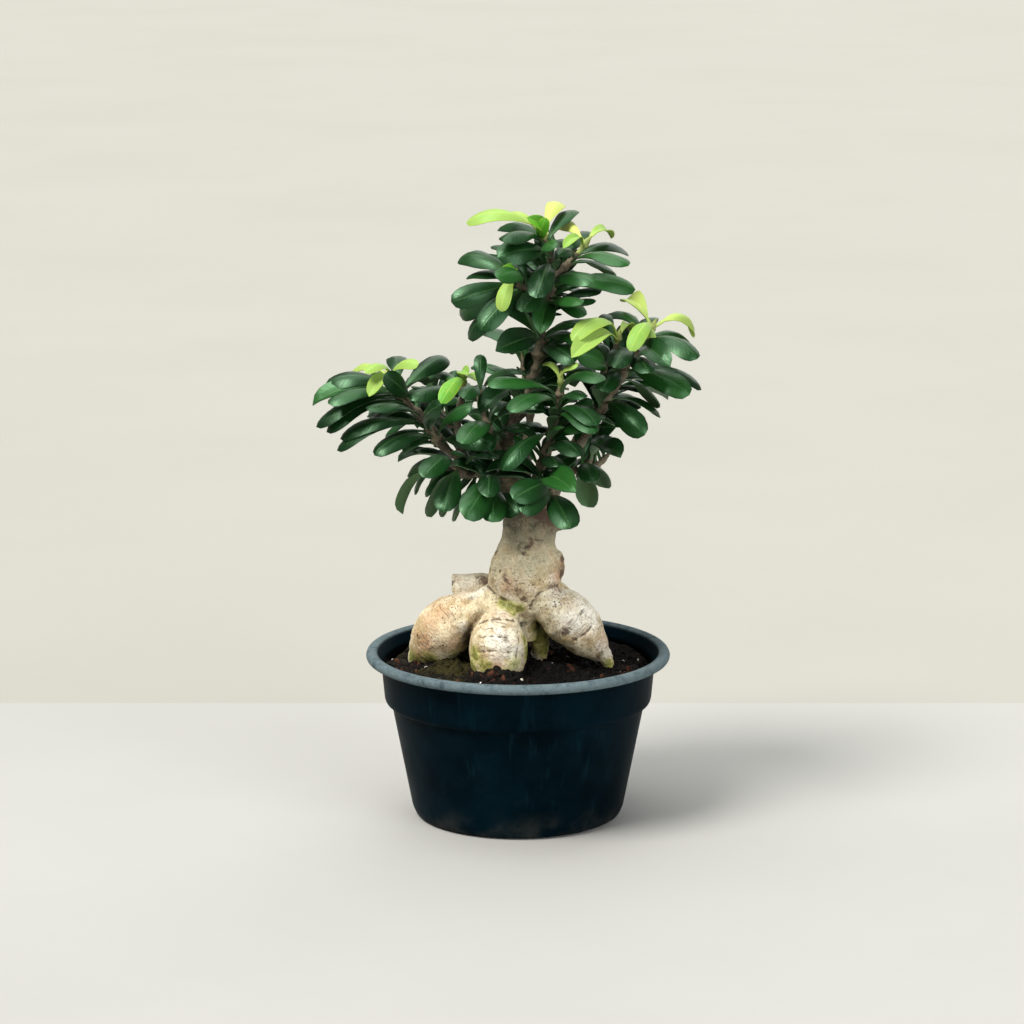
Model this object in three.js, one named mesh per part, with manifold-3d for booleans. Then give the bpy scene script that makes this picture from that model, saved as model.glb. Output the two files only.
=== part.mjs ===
// Ficus ginseng bonsai in a plastic nursery pot, in millimetres, +Z up.
// Origin: centre of the pot's base, on the surface that the pot stands on. The front faces -Y.
import * as THREE from "three";
import { mergeVertices } from "three/addons/utils/BufferGeometryUtils.js";
import Module from "manifold-3d";

const wasm = await Module();
wasm.setup();

// Driving dimensions
const SEAT_GAP = 0.3; // between pieces that touch
const LEAST_EDGE = 0.005; // shorter edges, left where solids are fused, are closed up
const ROUND_SIDES = 40; // round the pot and the soil

const POT_HEIGHT = 100;
const LIP_RADIUS = 90; // outer edge of the rolled lip
const LIP_HEIGHT = 6.6;
const COLLAR_RADIUS = 81; // under the lip
const COLLAR_FOOT_RADIUS = 79;
const COLLAR_FOOT_Z = 69;
const BODY_RADIUS = 75; // just under the collar
const BASE_RADIUS = 57.5;
const BASE_ROUND_WIDTH = 5.4; // of the rounded edge between base and wall
const BASE_ROUND_HEIGHT = 6;
const WALL = 1.7;
const FLOOR = 2;
const DRAIN_RADIUS = 5;
const DRAIN_CIRCLE = 36;
const DRAIN_COUNT = 6;

const SOIL_Z = 88;
const SOIL_WAVE = 1.6;
const ROOT_SPACE = 0.35; // between the soil and the roots that stand in it

const LEAF_LENGTH = 44;
const LEAF_HALF_WIDTH = 8.8;
const LEAF_THICKNESS = 1.1;
const PETIOLE_RADIUS = 0.85;
const LEAF_ARCH = 0.1; // rise of the midrib over its chord, as a share of the length
const LEAF_FOLD = 0.12; // rise of the edges over the midrib, as a share of the half width
const TWIG_SIDES = 5;
const STUB_LENGTH = 3; // of the parent's own bark at each fork
const SHOOT_STUB_LENGTH = 0.8;
const LEAST_PIECE = 0.8; // of a twig, from its foot to its first bend

// Leaf tips are read from the front: from this eye point, on the plane y = 0.
const EYE = new THREE.Vector3(-3.55, -2134.7, 632.2);

// Root swellings: x, y, z and radius at each station
const TUBERS = {
  left: [
    [-8, 2, 137, 11], [-22, 3, 130.5, 11.5], [-33, 5, 121, 15.4], [-43, 8, 110.5, 17.4],
    [-50.5, 11, 101, 15], [-55.5, 14, 94, 10.4], [-59, 16, 86, 6], [-60, 18, 66, 2],
  ],
  front: [
    [-6, -2, 132, 9], [-9, -7, 125, 12], [-10.5, -11, 116, 15.4], [-11.5, -13, 107, 17.6],
    [-12, -13, 99, 17], [-12, -12, 91, 13.4], [-12, -11, 84, 7.5], [-13, -12, 66, 3],
  ],
  right: [
    [9, -2, 136, 11], [17.5, -3, 130, 13.8], [25, -4, 122, 16.8], [33, -4, 114, 17.2],
    [41.5, -3, 106, 13.4], [48, -2, 98.5, 8.2], [53.5, -1, 91, 4], [56, 0, 70, 1.8],
  ],
  small_middle: [[10, 8, 126, 7], [13, 19, 113, 6.4], [14, 25, 101, 5.8], [14, 28, 82, 3]],
  back_left: [
    [-4, 8, 132, 12], [-14, 20, 124, 14], [-25, 31, 112, 13.4], [-34, 39, 100, 9.5],
    [-39, 44, 88, 5.4], [-41, 46, 68, 2.4],
  ],
  back_right: [
    [10, 8, 133, 12], [20, 20, 125, 14.6], [28, 31, 113, 14], [34, 39, 100, 9.6],
    [38, 44, 88, 5.2], [39, 46, 68, 2.4],
  ],
  back_middle: [[4, 12, 130, 9], [3, 28, 117, 9.4], [2, 38, 103, 7.4], [1, 43, 88, 4], [1, 45, 72, 2]],
  thin_front: [[6, -4, 128, 2], [9.5, 4, 117, 1.5], [8.5, 12, 103, 1.3], [7, 16, 82, 1.1]],
};
const CUT_ROOT = [[-10, 12, 135, 6.6], [-24, 16, 135.5, 6.2], [-39, 17, 135, 5.6]];
const TRUNK = [
  [3, 6, 104, 9], [3, 6, 119, 12], [3, 2, 127, 14], [3.3, 0, 132, 18.6], [4, 0, 139, 21.6],
  [4.1, 0, 147, 20.9], [5.3, 0, 157, 18.2], [6.6, 0, 166, 15.6], [6.9, 0, 175, 15.9],
  [6.8, 0, 183, 15], [5, 0, 193, 10],
];
// Cut scars and burls on the trunk: x, y, z, radius and upright stretch
const KNOBS = [
  [24.5, -2, 150.5, 5.4, 1.7], [4, -15.2, 163.5, 3.6, 1], [24, 3, 176, 5.6, 1], [-8.5, -3, 153, 5, 1.3],
];

// Bare limbs in the crown, grown from the trunk
const LIMBS = {
  leader: [[4, 0, 179, 10], [-3, 0, 195, 5.8], [-8, -1, 212, 3.7]],
  right: [[13, 2, 180, 8], [21, 4, 194, 4], [28, 5, 208, 3.1], [38, 6, 224, 2.5]],
  left: [[-2, -2, 185, 7], [-14, -4, 199, 3.6], [-25, -6, 209, 2.8], [-39, -8, 219, 2.2]],
  centre: [[9, -9, 187, 3.6], [9, -15, 203, 2.4]],
  fork: [[-8, -1, 212, 2.4], [-12, -11, 223, 1.9]],
  left_inner: [[-30, -7, 213, 2.4], [-35, -1, 225, 1.9], [-35, 4, 241, 1.8]],
  back_left: [[-2, 6, 184, 6.4], [-17, 24, 203, 3.4], [-30, 38, 219, 2.4]],
  back_right: [[12, 8, 183, 6.4], [26, 26, 204, 3.4], [38, 40, 223, 2.4]],
  back_middle: [[5, 12, 184, 5.6], [4, 32, 206, 3], [7, 44, 227, 2.4]],
};

// Leafy stems. path: the twig's points; radii: at its foot and tip; parent: the node that it grows from.
// leaves: place along the twig from 0 to 1, the tip's x and z seen from the front, -1 for a tip nearer
// than the root or 1 for one behind it, how far the blade faces the front, and its size.
const STEMS = {
  left_stem: {
    parent: "trunk",
    radii: [2.1, 1.3],
    path: [[-39, -8, 219], [-46, -9, 226], [-50, -9, 232], [-55, -9, 239], [-62, -8, 247], [-68, -7, 254],
      [-71, -6, 259]],
    leaves: [
      [0.87, -120, 246, 1, 0.3, 1], [0.84, -111, 247, -1, 0.15, 1], [0.96, -111, 265, 1, 0.35, 0.95],
      [0.84, -118, 233, 1, 0.25, 1], [0.76, -112, 230, -1, 0.25, 1], [0.48, -88, 243, -1, 0.1, 0.95],
      [0.78, -78, 264, -1, 0.8, 0.9], [0.94, -71, 274, 1, 0.7, 0.8], [0.89, -42, 274, 1, 0.5, 1],
      [0.88, -54, 258, 1, 0.2, 0.7], [0.32, -104, 226, 1, 0.35, 1], [0.37, -106, 219, 1, 0.2, 1],
      [0.21, -84, 216, -1, 0.2, 1], [0.18, -27, 245, -1, 0.45, 0.95], [0.29, -45, 246, -1, 0.7, 0.9],
      [0.51, -31, 247, 1, 0.1, 0.9], [0.12, -15, 223, -1, 0.6, 1],
    ],
  },
  left_inner_stem: {
    parent: "trunk",
    radii: [1.8, 1.3],
    path: [[-35, 4, 241], [-33, 5, 248], [-32, 5, 255]],
    leaves: [[0.62, -63, 249, -1, 0.3, 1], [0.91, -53, 259, 1, 0.3, 0.9]],
  },
  fork_stem: {
    parent: "trunk",
    radii: [1.8, 1.2],
    path: [[-12, -11, 223], [-17, -18, 235], [-20, -20, 244], [-22, -19, 251], [-22, -18, 256]],
    leaves: [
      [0.98, -22, 276, 1, 0.9, 0.55], [0.92, -32, 250, -1, 0.4, 0.8], [0.46, 10, 238, 1, 0.15, 1],
      [0.3, -33, 223, -1, 0.6, 1], [0.4, 16, 242, -1, 0.4, 0.95], [0.2, -46, 221, 1, 0.3, 1],
    ],
  },
  leader_low_stem: {
    parent: "trunk",
    radii: [3.3, 2.1],
    stub: 8,
    path: [[-8, -1, 212], [-6, -2, 228], [1, -3, 244], [7, -4, 258], [12, -3, 274], [13, -2, 287]],
    leaves: [
      [0.64, -18, 258, 1, 0.3, 1], [0.49, -22, 241, -1, 0.3, 1], [0.97, -13, 278, -1, 0.75, 1.05],
      [0.98, 50, 292, 1, 0.2, 1], [0.96, 44, 280, -1, 0.2, 1], [0.87, 33, 271, -1, 0.5, 0.9],
      [0.84, -1, 277, 1, 0.5, 0.9],
    ],
  },
  leader_top_stem: {
    parent: "leader_low_stem",
    radii: [2.1, 1.3],
    path: [[13, -2, 287], [16, -1, 300], [18, 0, 313], [19, 0, 326], [18, -1, 335], [16, -2, 342]],
    leaves: [
      [0.96, -10, 349, 1, 0.4, 1], [0.93, -9, 342, -1, 0.05, 1], [0.88, -12, 333, -1, 0.75, 1.05],
      [0.97, 33, 360, 1, 0.15, 0.85], [0.75, 10, 309, -1, 0.8, 1.05], [0.46, 2, 301, -1, 0.6, 0.95],
      [0.81, 21, 338, -1, 0.8, 0.8], [0.48, 68, 314, -1, 0.5, 1.05], [0.41, 44, 318, -1, 0.4, 1],
      [0.37, 38, 298, -1, 0.5, 0.85], [0.2, 36, 305, -1, 0.3, 0.95], [0.34, 13, 288, -1, 0.8, 0.95],
    ],
  },
  leader_left_stem: {
    parent: "leader_top_stem",
    radii: [1.6, 1.2],
    stub: 3.6,
    path: [[17, 0, 309], [9, -8, 313], [3, -13, 317], [-1, -16, 321]],
    leaves: [
      [0.88, -34, 332, 1, 0.45, 1], [0.92, -35, 319, -1, 0.9, 1], [0.71, -34, 299, 1, 0.75, 1],
      [0.47, -29, 285, 1, 0.4, 1.05], [0.59, -20, 291, -1, 0.55, 1], [0.81, -21, 312, -1, 0.7, 0.95],
    ],
  },
  leader_right_stem: {
    parent: "leader_top_stem",
    radii: [1.6, 1.2],
    stub: 4.3,
    path: [[19, 0, 321], [26, 2, 326], [31, 2, 331], [36, 1, 337]],
    leaves: [
      [0.52, 63, 335, 1, 0.25, 1], [0.47, 64, 328, -1, 0.25, 1], [0.34, 55, 321, 1, 0.2, 0.95],
      [0.73, 22, 340, -1, 0.5, 0.7],
    ],
  },
  leader_back_stem: {
    parent: "leader_top_stem",
    radii: [1.6, 1.2],
    stub: 4,
    path: [[17, 0, 304], [15, 11, 310], [14, 20, 317], [14, 27, 324]],
    leaves: [],
  },
  right_stem: {
    parent: "trunk",
    radii: [2.4, 1.4],
    path: [[38, 6, 224], [47, 6, 240], [55, 5, 254], [63, 4, 267], [70, 3, 279], [75, 2, 286]],
    leaves: [
      [0.98, 52, 297, 1, 0.2, 1], [0.97, 100, 279, 1, 0.3, 0.95], [0.94, 102, 272, -1, 0.3, 1],
      [0.87, 87, 271, -1, 0.7, 1], [0.81, 88, 268, 1, 0.6, 1], [0.75, 76, 265, -1, 0.5, 0.95],
      [0.78, 48, 271, -1, 0.4, 0.95], [0.66, 100, 252, -1, 0.55, 1.1], [0.62, 107, 255, 1, 0.2, 1],
      [0.56, 81, 244, 1, 0.1, 0.9], [0.6, 49, 254, -1, 0.4, 0.9], [0.37, 82, 239, 1, 0.25, 1],
      [0.34, 74, 228, -1, 0.8, 1],
    ],
  },
  right_inner_stem: {
    parent: "right_stem",
    radii: [1.6, 1.2],
    stub: 6.4,
    path: [[51, 5, 247], [46, -1, 256], [50, -6, 268], [55, -9, 278], [57, -10, 283]],
    leaves: [[0.97, 55, 300, 1, 0.75, 0.75], [0.5, 35, 274, -1, 0.8, 0.95], [0.36, 33, 257, 1, 0.3, 0.9]],
  },
  centre_stem: {
    parent: "trunk",
    radii: [2.2, 1.4],
    path: [[9, -15, 203], [14, -20, 216], [18, -23, 228], [21, -25, 242], [23, -26, 251], [24, -27, 259]],
    leaves: [
      [0.98, 49, 260, -1, 0.25, 1], [0.97, 42, 267, 1, 0.4, 0.95], [0.95, -18, 258, -1, 0.2, 1],
      [0.86, -5, 242, -1, 0.3, 1], [0.76, 46, 234, -1, 0.25, 0.95], [0.7, 45, 229, -1, 0.3, 1],
      [0.54, -9, 207, -1, 0.3, 1],
    ],
  },
  right_low_stem: {
    parent: "trunk",
    radii: [1.9, 1.3],
    stub: 6,
    path: [[28, 5, 208], [36, -4, 208], [41, -9, 214], [43, -12, 220]],
    leaves: [
      [0.67, 60, 215, -1, 0.25, 1], [0.81, 53, 225, 1, 0.4, 1], [0.45, 43, 200, -1, 0.5, 0.95],
      [0.4, 48, 197, 1, 0.1, 1], [0.35, 41, 185, 1, 0.2, 1],
    ],
  },
  front_low_right_stem: {
    parent: "trunk",
    radii: [2, 1.4],
    stub: 6.2,
    path: [[9, -10, 189], [15, -18, 191], [19, -25, 197], [19, -30, 206]],
    leaves: [
      [0.92, 34, 194, -1, 0.8, 1.15], [0.58, 31, 172, -1, 0.8, 1.1], [0.92, -3, 190, -1, 0.8, 1.1],
      [0.62, 2, 182, -1, 0.7, 1],
    ],
  },
  front_low_left_stem: {
    parent: "trunk",
    radii: [2, 1.4],
    stub: 8.5,
    path: [[-6, -4, 190], [-9, -14, 191], [-13, -21, 197], [-16, -26, 204]],
    leaves: [
      [0.89, -31, 178, -1, 0.8, 1.2], [0.64, -15, 176, -1, 0.7, 1.1], [0.94, -37, 177, 1, 0.3, 0.95],
      [0.47, 0, 181, -1, 0.8, 1], [0.98, -18, 191, -1, 0.6, 1],
    ],
  },
  left_low_stem: {
    parent: "trunk",
    radii: [1.9, 1.3],
    stub: 5,
    path: [[-25, -6, 209], [-29, -15, 208], [-35, -20, 212], [-42, -22, 217]],
    leaves: [
      [0.59, -44, 182, -1, 0.55, 1], [0.87, -56, 203, -1, 0.7, 1], [0.97, -68, 181, 1, 0.05, 1.05],
      [0.97, -63, 204, 1, 0.2, 0.9], [0.41, -51, 179, 1, 0.1, 1],
    ],
  },
  back_left_stem: {
    parent: "trunk",
    radii: [2.2, 1.3],
    path: [[-30, 38, 219], [-39, 45, 226], [-48, 50, 233], [-56, 53, 239]],
    leaves: [],
  },
  back_left_low_stem: {
    parent: "trunk",
    radii: [2, 1.3],
    stub: 5.6,
    path: [[-17, 24, 203], [-27, 24, 200], [-38, 30, 201], [-47, 36, 204]],
    leaves: [],
  },
  back_middle_stem: {
    parent: "trunk",
    radii: [2.2, 1.3],
    path: [[7, 44, 227], [7, 49, 240], [5, 51, 253], [3, 51, 264]],
    leaves: [],
  },
  back_middle_low_stem: {
    parent: "trunk",
    radii: [2, 1.3],
    stub: 5.6,
    path: [[4, 32, 206], [-6, 38, 203], [-12, 48, 205], [-14, 56, 209]],
    leaves: [],
  },
  back_right_stem: {
    parent: "trunk",
    radii: [2.2, 1.3],
    path: [[38, 40, 223], [47, 45, 233], [55, 48, 244], [62, 49, 254]],
    leaves: [],
  },
  back_right_low_stem: {
    parent: "trunk",
    radii: [2, 1.3],
    stub: 5.4,
    path: [[26, 26, 204], [37, 25, 202], [47, 32, 204], [53, 40, 208]],
    leaves: [],
  },
};

// Young pale shoots at the ends of stems
const SHOOTS = {
  top_shoot: {
    parent: "leader_top_stem",
    path: [[16, -2, 342], [14, -2, 347]],
    leaves: [
      [0.9, -30, 353, 1, 0.35, 1], [0.8, -9, 356, 1, 0.3, 0.6], [0.7, 5, 356, -1, 0.7, 0.55],
      [0.6, 16, 356, -1, 0.7, 0.55], [0.8, 24, 364, 1, 0.5, 0.8],
    ],
  },
  top_right_shoot: {
    parent: "leader_right_stem",
    path: [[36, 1, 337], [39, 1, 341]],
    leaves: [[0.9, 24, 350, 1, 0.5, 0.75], [0.8, 54, 344, 1, 0.3, 0.6], [0.6, 26, 338, -1, 0.4, 0.5]],
  },
  leader_left_shoot: {
    parent: "leader_left_stem",
    path: [[-1, -16, 321], [-3, -18, 325]],
    leaves: [[0.8, -12, 321, -1, 0.7, 0.5], [0.6, -10, 301, -1, 0.4, 0.7]],
  },
  right_shoot: {
    parent: "right_stem",
    path: [[75, 2, 286], [78, 1, 292]],
    leaves: [
      [0.9, 62, 307, 1, 0.4, 0.85], [0.85, 101, 287, 1, 0.5, 0.95], [0.6, 65, 278, -1, 0.6, 0.8],
      [0.7, 78, 280, -1, 0.6, 0.4],
    ],
  },
  right_inner_shoot: {
    parent: "right_inner_stem",
    path: [[57, -10, 283], [58, -11, 288]],
    leaves: [[0.7, 31, 274, -1, 0.5, 0.95], [0.9, 31, 284, -1, 0.3, 0.9], [0.8, 66, 289, 1, 0.3, 0.5]],
  },
  centre_shoot: {
    parent: "centre_stem",
    path: [[24, -27, 259], [24.5, -28.3, 266]],
    leaves: [[0.9, 35, 270, -1, 0.3, 0.45], [0.8, 15, 270, 1, 0.2, 0.5]],
  },
  left_shoot: {
    parent: "left_stem",
    path: [[-71, -6, 259], [-74, -5, 263]],
    leaves: [
      [0.9, -58, 270, -1, 0.4, 0.65], [0.8, -89, 265, -1, 0.3, 0.65], [0.6, -87, 251, -1, 0.4, 0.65],
      [0.85, -99, 260, 1, 0.3, 0.75],
    ],
  },
  left_inner_shoot: {
    parent: "left_inner_stem",
    path: [[-32, 5, 255], [-32, 4, 260]],
    leaves: [[0.6, -45, 247, -1, 0.6, 0.75], [0.9, -29, 264, -1, 0.7, 0.5], [0.8, -23, 260, -1, 0.3, 0.5]],
  },
};
const SHOOT_RADII = [1.3, 1.1];

// The crown's outline from the front: x and z on the plane y = 0
const CROWN_OUTLINE = [
  [-31, 352], [-29, 358], [-11, 361], [13, 365], [35, 361], [37, 353], [54, 347], [66, 336], [65, 326],
  [68, 317], [55, 299], [42, 298], [34, 290], [48, 301], [64, 310], [83, 306], [101, 297], [103, 271],
  [84, 268], [106, 257], [102, 249], [80, 247], [78, 233], [69, 226], [55, 231], [61, 218], [43, 216],
  [46, 201], [41, 187], [34, 178], [-11, 175], [-46, 178], [-52, 184], [-62, 193], [-66, 180], [-72, 184],
  [-58, 206], [-83, 214], [-108, 219], [-121, 235], [-123, 249], [-111, 272], [-69, 276], [-42, 275],
  [-34, 265], [-24, 276], [-13, 268], [3, 272], [-14, 282], [-36, 296], [-38, 330], [-19, 339], [-12, 349],
];

// The rule for the leaves that the front view hides
const FILL_SPACING = 3.8; // along a twig
const FILL_FIRST = 0.15; // share of a twig that stays bare at its foot
const FILL_LAST = 0.98;
const FILL_SIZE = [0.8, 0.25]; // least, and spread over it
const FILL_FACING = 0.3;
const FILL_START_TURN = 0.9; // radians from one stem to the next
const GOLDEN_TURN = THREE.MathUtils.degToRad(137.508);
const FILL_SWINGS = [0, 0.5, -0.5, 1, -1, 1.6, -1.6, 2.3, -2.3, 3]; // radians round the twig
const FILL_PITCHES = [0.55, 0.25, 0.9]; // radians up from square to the twig
const FILL_CLEARANCE = 2.4; // between the sample points of two blades
const COVER_REACH = 4.5; // how near in the front view two blades count as one behind the other
const COVER_DEPTH = 2;
const CHORD_FACTORS = [1, 0.93, 1.07, 0.86, 1.14];

const UP = new THREE.Vector3(0, 0, 1);
const STEEP = 0.8; // upright share of a direction that counts as steep
const SIZE_STRIDE = 0.618034; // strides that spread their multiples evenly from 0 to 1
const FACING_STRIDE = 0.754878;

const vector = ([x, y, z]) => new THREE.Vector3(x, y, z);
const scatter = (index, stride) => (index * stride) % 1;
const levelFor = (along) => (Math.abs(along.z) < STEEP ? UP.clone() : new THREE.Vector3(1, 0, 0));

// Colours
const material = (color, roughness) => new THREE.MeshStandardMaterial({ color, roughness, metalness: 0 });
const POT_PLASTIC = material("#1b3038", 0.45);
const SOIL = material("#2a1f18", 0.95);
const BARK = material("#b3a48c", 0.85);
const LEAF = material("#1d4526", 0.35);
const YOUNG_LEAF = material("#9cc03c", 0.4);

// Solids
function solidOf(geometry) {
  const bare = new THREE.BufferGeometry();
  bare.setAttribute("position", geometry.getAttribute("position"));
  bare.setIndex(geometry.index);
  const merged = mergeVertices(bare, 1e-4);
  const vertProperties = merged.getAttribute("position").array;
  const triVerts = new Uint32Array(merged.index.array);
  return new wasm.Manifold(new wasm.Mesh({ numProp: 3, vertProperties, triVerts }));
}

function solidOfRings(rings) {
  const sides = rings[0].length;
  const positions = rings.flat().flatMap((p) => [p.x, p.y, p.z]);
  const faces = [];
  const at = (ring, side) => ring * sides + (side % sides);
  for (let ring = 0; ring < rings.length - 1; ring++) {
    for (let side = 0; side < sides; side++) {
      faces.push(at(ring, side), at(ring, side + 1), at(ring + 1, side + 1));
      faces.push(at(ring, side), at(ring + 1, side + 1), at(ring + 1, side));
    }
  }
  for (let side = 1; side < sides - 1; side++) {
    faces.push(at(0, 0), at(0, side + 1), at(0, side));
    faces.push(at(rings.length - 1, 0), at(rings.length - 1, side), at(rings.length - 1, side + 1));
  }
  const geometry = new THREE.BufferGeometry();
  geometry.setAttribute("position", new THREE.Float32BufferAttribute(positions, 3));
  geometry.setIndex(faces);
  return solidOf(geometry);
}

function meshOf(name, solid, look) {
  const { numProp, vertProperties, triVerts } = solid.simplify(LEAST_EDGE).getMesh();
  const positions = [];
  for (let i = 0; i < vertProperties.length; i += numProp) {
    positions.push(vertProperties[i], vertProperties[i + 1], vertProperties[i + 2]);
  }
  const geometry = new THREE.BufferGeometry();
  geometry.setAttribute("position", new THREE.Float32BufferAttribute(positions, 3));
  geometry.setIndex([...triVerts]);
  geometry.computeVertexNormals();
  const mesh = new THREE.Mesh(geometry, look);
  mesh.name = name;
  return mesh;
}

const union = (solids) => solids.reduce((sum, solid) => sum.add(solid));

// A ring of points round each station of a path; swell scales the radius by angle and place.
function ringsAlong(stations, sides, swell = () => 1) {
  const centres = stations.map(vector);
  const last = centres.length - 1;
  let across = null;
  return stations.map((station, i) => {
    const before = centres[Math.max(i - 1, 0)];
    const after = centres[Math.min(i + 1, last)];
    const along = after.clone().sub(before).normalize();
    across ??= levelFor(along);
    across = across.clone().addScaledVector(along, -across.dot(along)).normalize();
    const outward = along.clone().cross(across);
    const ring = [];
    for (let side = 0; side < sides; side++) {
      const angle = (side / sides) * 2 * Math.PI;
      const radius = station[3] * swell(angle, i);
      const point = centres[i].clone();
      point.addScaledVector(across, radius * Math.cos(angle));
      point.addScaledVector(outward, radius * Math.sin(angle));
      ring.push(point);
    }
    return ring;
  });
}

const tube = (stations, sides, swell) => solidOfRings(ringsAlong(stations, sides, swell));

// Pot and soil
const COLLAR_TOP_Z = POT_HEIGHT - LIP_HEIGHT - 1; // both on the inner wall
const COLLAR_STEP_Z = COLLAR_FOOT_Z + 2;
const INNER_RADII = {
  collar: COLLAR_RADIUS - WALL,
  collarFoot: COLLAR_FOOT_RADIUS - WALL,
  body: BODY_RADIUS - WALL,
  baseRound: BASE_RADIUS + BASE_ROUND_WIDTH - WALL,
  base: BASE_RADIUS - WALL,
};

function turned(profile) {
  const points = profile.map(([radius, z]) => new THREE.Vector2(radius, z));
  const geometry = new THREE.LatheGeometry(points, ROUND_SIDES);
  geometry.rotateX(Math.PI / 2);
  return geometry;
}

function pot() {
  const lipFoot = POT_HEIGHT - LIP_HEIGHT;
  const profile = [
    [0, 0], [BASE_RADIUS, 0], [BASE_RADIUS + 0.65 * BASE_ROUND_WIDTH, 0.25 * BASE_ROUND_HEIGHT],
    [BASE_RADIUS + BASE_ROUND_WIDTH, BASE_ROUND_HEIGHT],
    [BODY_RADIUS, COLLAR_FOOT_Z - 0.6], [COLLAR_FOOT_RADIUS - 0.8, COLLAR_FOOT_Z],
    [COLLAR_FOOT_RADIUS, COLLAR_FOOT_Z + 2.4], [COLLAR_RADIUS, lipFoot - 0.3],
    [LIP_RADIUS - 3.4, lipFoot], [LIP_RADIUS - 0.6, lipFoot + 1.4], [LIP_RADIUS, lipFoot + 3.6],
    [LIP_RADIUS - 1.2, POT_HEIGHT - 0.7], [LIP_RADIUS - 3.4, POT_HEIGHT],
    [LIP_RADIUS - 6.4, POT_HEIGHT - 1], [INNER_RADII.collar, COLLAR_TOP_Z],
    [INNER_RADII.collarFoot, COLLAR_STEP_Z], [INNER_RADII.body, COLLAR_FOOT_Z],
    [INNER_RADII.baseRound, BASE_ROUND_HEIGHT], [INNER_RADII.base, FLOOR], [0, FLOOR],
  ];
  let body = solidOf(turned(profile));
  for (let hole = 0; hole < DRAIN_COUNT; hole++) {
    const angle = ((hole + 0.5) / DRAIN_COUNT) * 2 * Math.PI;
    const cutter = new THREE.CylinderGeometry(DRAIN_RADIUS, DRAIN_RADIUS, 4 * FLOOR, 10);
    cutter.rotateX(Math.PI / 2);
    cutter.translate(DRAIN_CIRCLE * Math.cos(angle), DRAIN_CIRCLE * Math.sin(angle), 0);
    body = body.subtract(solidOf(cutter));
  }
  return body;
}

// Height of the soil over SOIL_Z: one long wave and a shorter one across it
function soilWave(x, y) {
  return SOIL_WAVE * (Math.sin(x / 17 + 1) * Math.cos(y / 14) + 0.5 * Math.sin(x / 7 + y / 9));
}

function soil(rootSpace) {
  const slope = (INNER_RADII.collar - INNER_RADII.collarFoot) / (COLLAR_TOP_Z - COLLAR_STEP_Z);
  const edge = INNER_RADII.collarFoot + slope * (SOIL_Z - COLLAR_STEP_Z) - SEAT_GAP;
  const profile = [
    [0, FLOOR + SEAT_GAP], [INNER_RADII.base - SEAT_GAP, FLOOR + SEAT_GAP],
    [INNER_RADII.baseRound - SEAT_GAP, BASE_ROUND_HEIGHT + SEAT_GAP],
    [INNER_RADII.body - SEAT_GAP, COLLAR_FOOT_Z],
    [INNER_RADII.collarFoot - SEAT_GAP, COLLAR_STEP_Z + SEAT_GAP],
    [edge, SOIL_Z], [edge * 0.75, SOIL_Z], [edge * 0.45, SOIL_Z], [0, SOIL_Z],
  ];
  const geometry = turned(profile);
  const position = geometry.getAttribute("position");
  for (let i = 0; i < position.count; i++) {
    if (position.getZ(i) > 0.99 * SOIL_Z) {
      position.setZ(i, SOIL_Z + soilWave(position.getX(i), position.getY(i)));
    }
  }
  return solidOf(geometry).subtract(rootSpace);
}

// Trunk, root swellings and bare limbs, grown as one piece
const TUBER_SIDES = 10;
const TRUNK_SIDES = 12;
const LIMB_SIDES = 6;
const lobed = (depth, twist) => (angle, ring) => 1 + depth * Math.sin(3 * angle + twist * ring);
const tuberSwell = lobed(0.05, 1.3);
const trunkSwell = lobed(0.03, 0.8);

function tubers(growth) {
  const wider = ([x, y, z, radius]) => [x, y, z, radius + growth];
  return union(
    Object.values(TUBERS).map((stations) => {
      const rows = stations.map(wider);
      const end = rows[rows.length - 1];
      end[2] -= growth;
      return tube(rows, TUBER_SIDES, tuberSwell);
    }),
  );
}

function knob([x, y, z, radius, stretch]) {
  const ball = new THREE.IcosahedronGeometry(radius, 1);
  ball.scale(1, 1, stretch);
  ball.translate(x, y, z);
  return solidOf(ball);
}

// A stem's twig starts on its parent's stub, SEAT_GAP past the stub's end.
function forkOf(path, radius, stubLength) {
  const foot = vector(path[0]);
  const along = vector(path[1]).sub(foot).normalize();
  const stubEnd = foot.clone().addScaledVector(along, stubLength);
  const start = foot.clone().addScaledVector(along, stubLength + SEAT_GAP);
  const stub = tube([[...foot.toArray(), radius], [...stubEnd.toArray(), radius]], TWIG_SIDES);
  return { start, stub };
}

// Points along a twig and the length up to each of them
function twigOf(path, start) {
  const foot = vector(path[0]);
  const bare = start.distanceTo(foot);
  const points = [start, ...path.map(vector).filter((point) => point.distanceTo(foot) > bare + LEAST_PIECE)];
  const lengths = [0];
  for (let i = 1; i < points.length; i++) {
    lengths.push(lengths[i - 1] + points[i].distanceTo(points[i - 1]));
  }
  return { points, lengths };
}

function pointOnTwig({ points, lengths }, share) {
  const wanted = share * lengths[lengths.length - 1];
  let i = 1;
  while (i < lengths.length - 1 && lengths[i] < wanted) i++;
  const part = (wanted - lengths[i - 1]) / (lengths[i] - lengths[i - 1]);
  const point = points[i - 1].clone().lerp(points[i], part);
  const along = points[i].clone().sub(points[i - 1]).normalize();
  return { point, along };
}

// Leaves
const BLADE_START = 0.16; // share of the length where the petiole ends
const BLADE_SECTIONS = [0, 0.2, 0.42, 0.76, 0.97];
const SAMPLE_SHARES = [0.3, 0.4, 0.5, 0.6, 0.7, 0.8, 0.9, 1];
const SAMPLE_OFFSETS = [-0.8, -0.4, 0, 0.4, 0.8];

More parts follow.
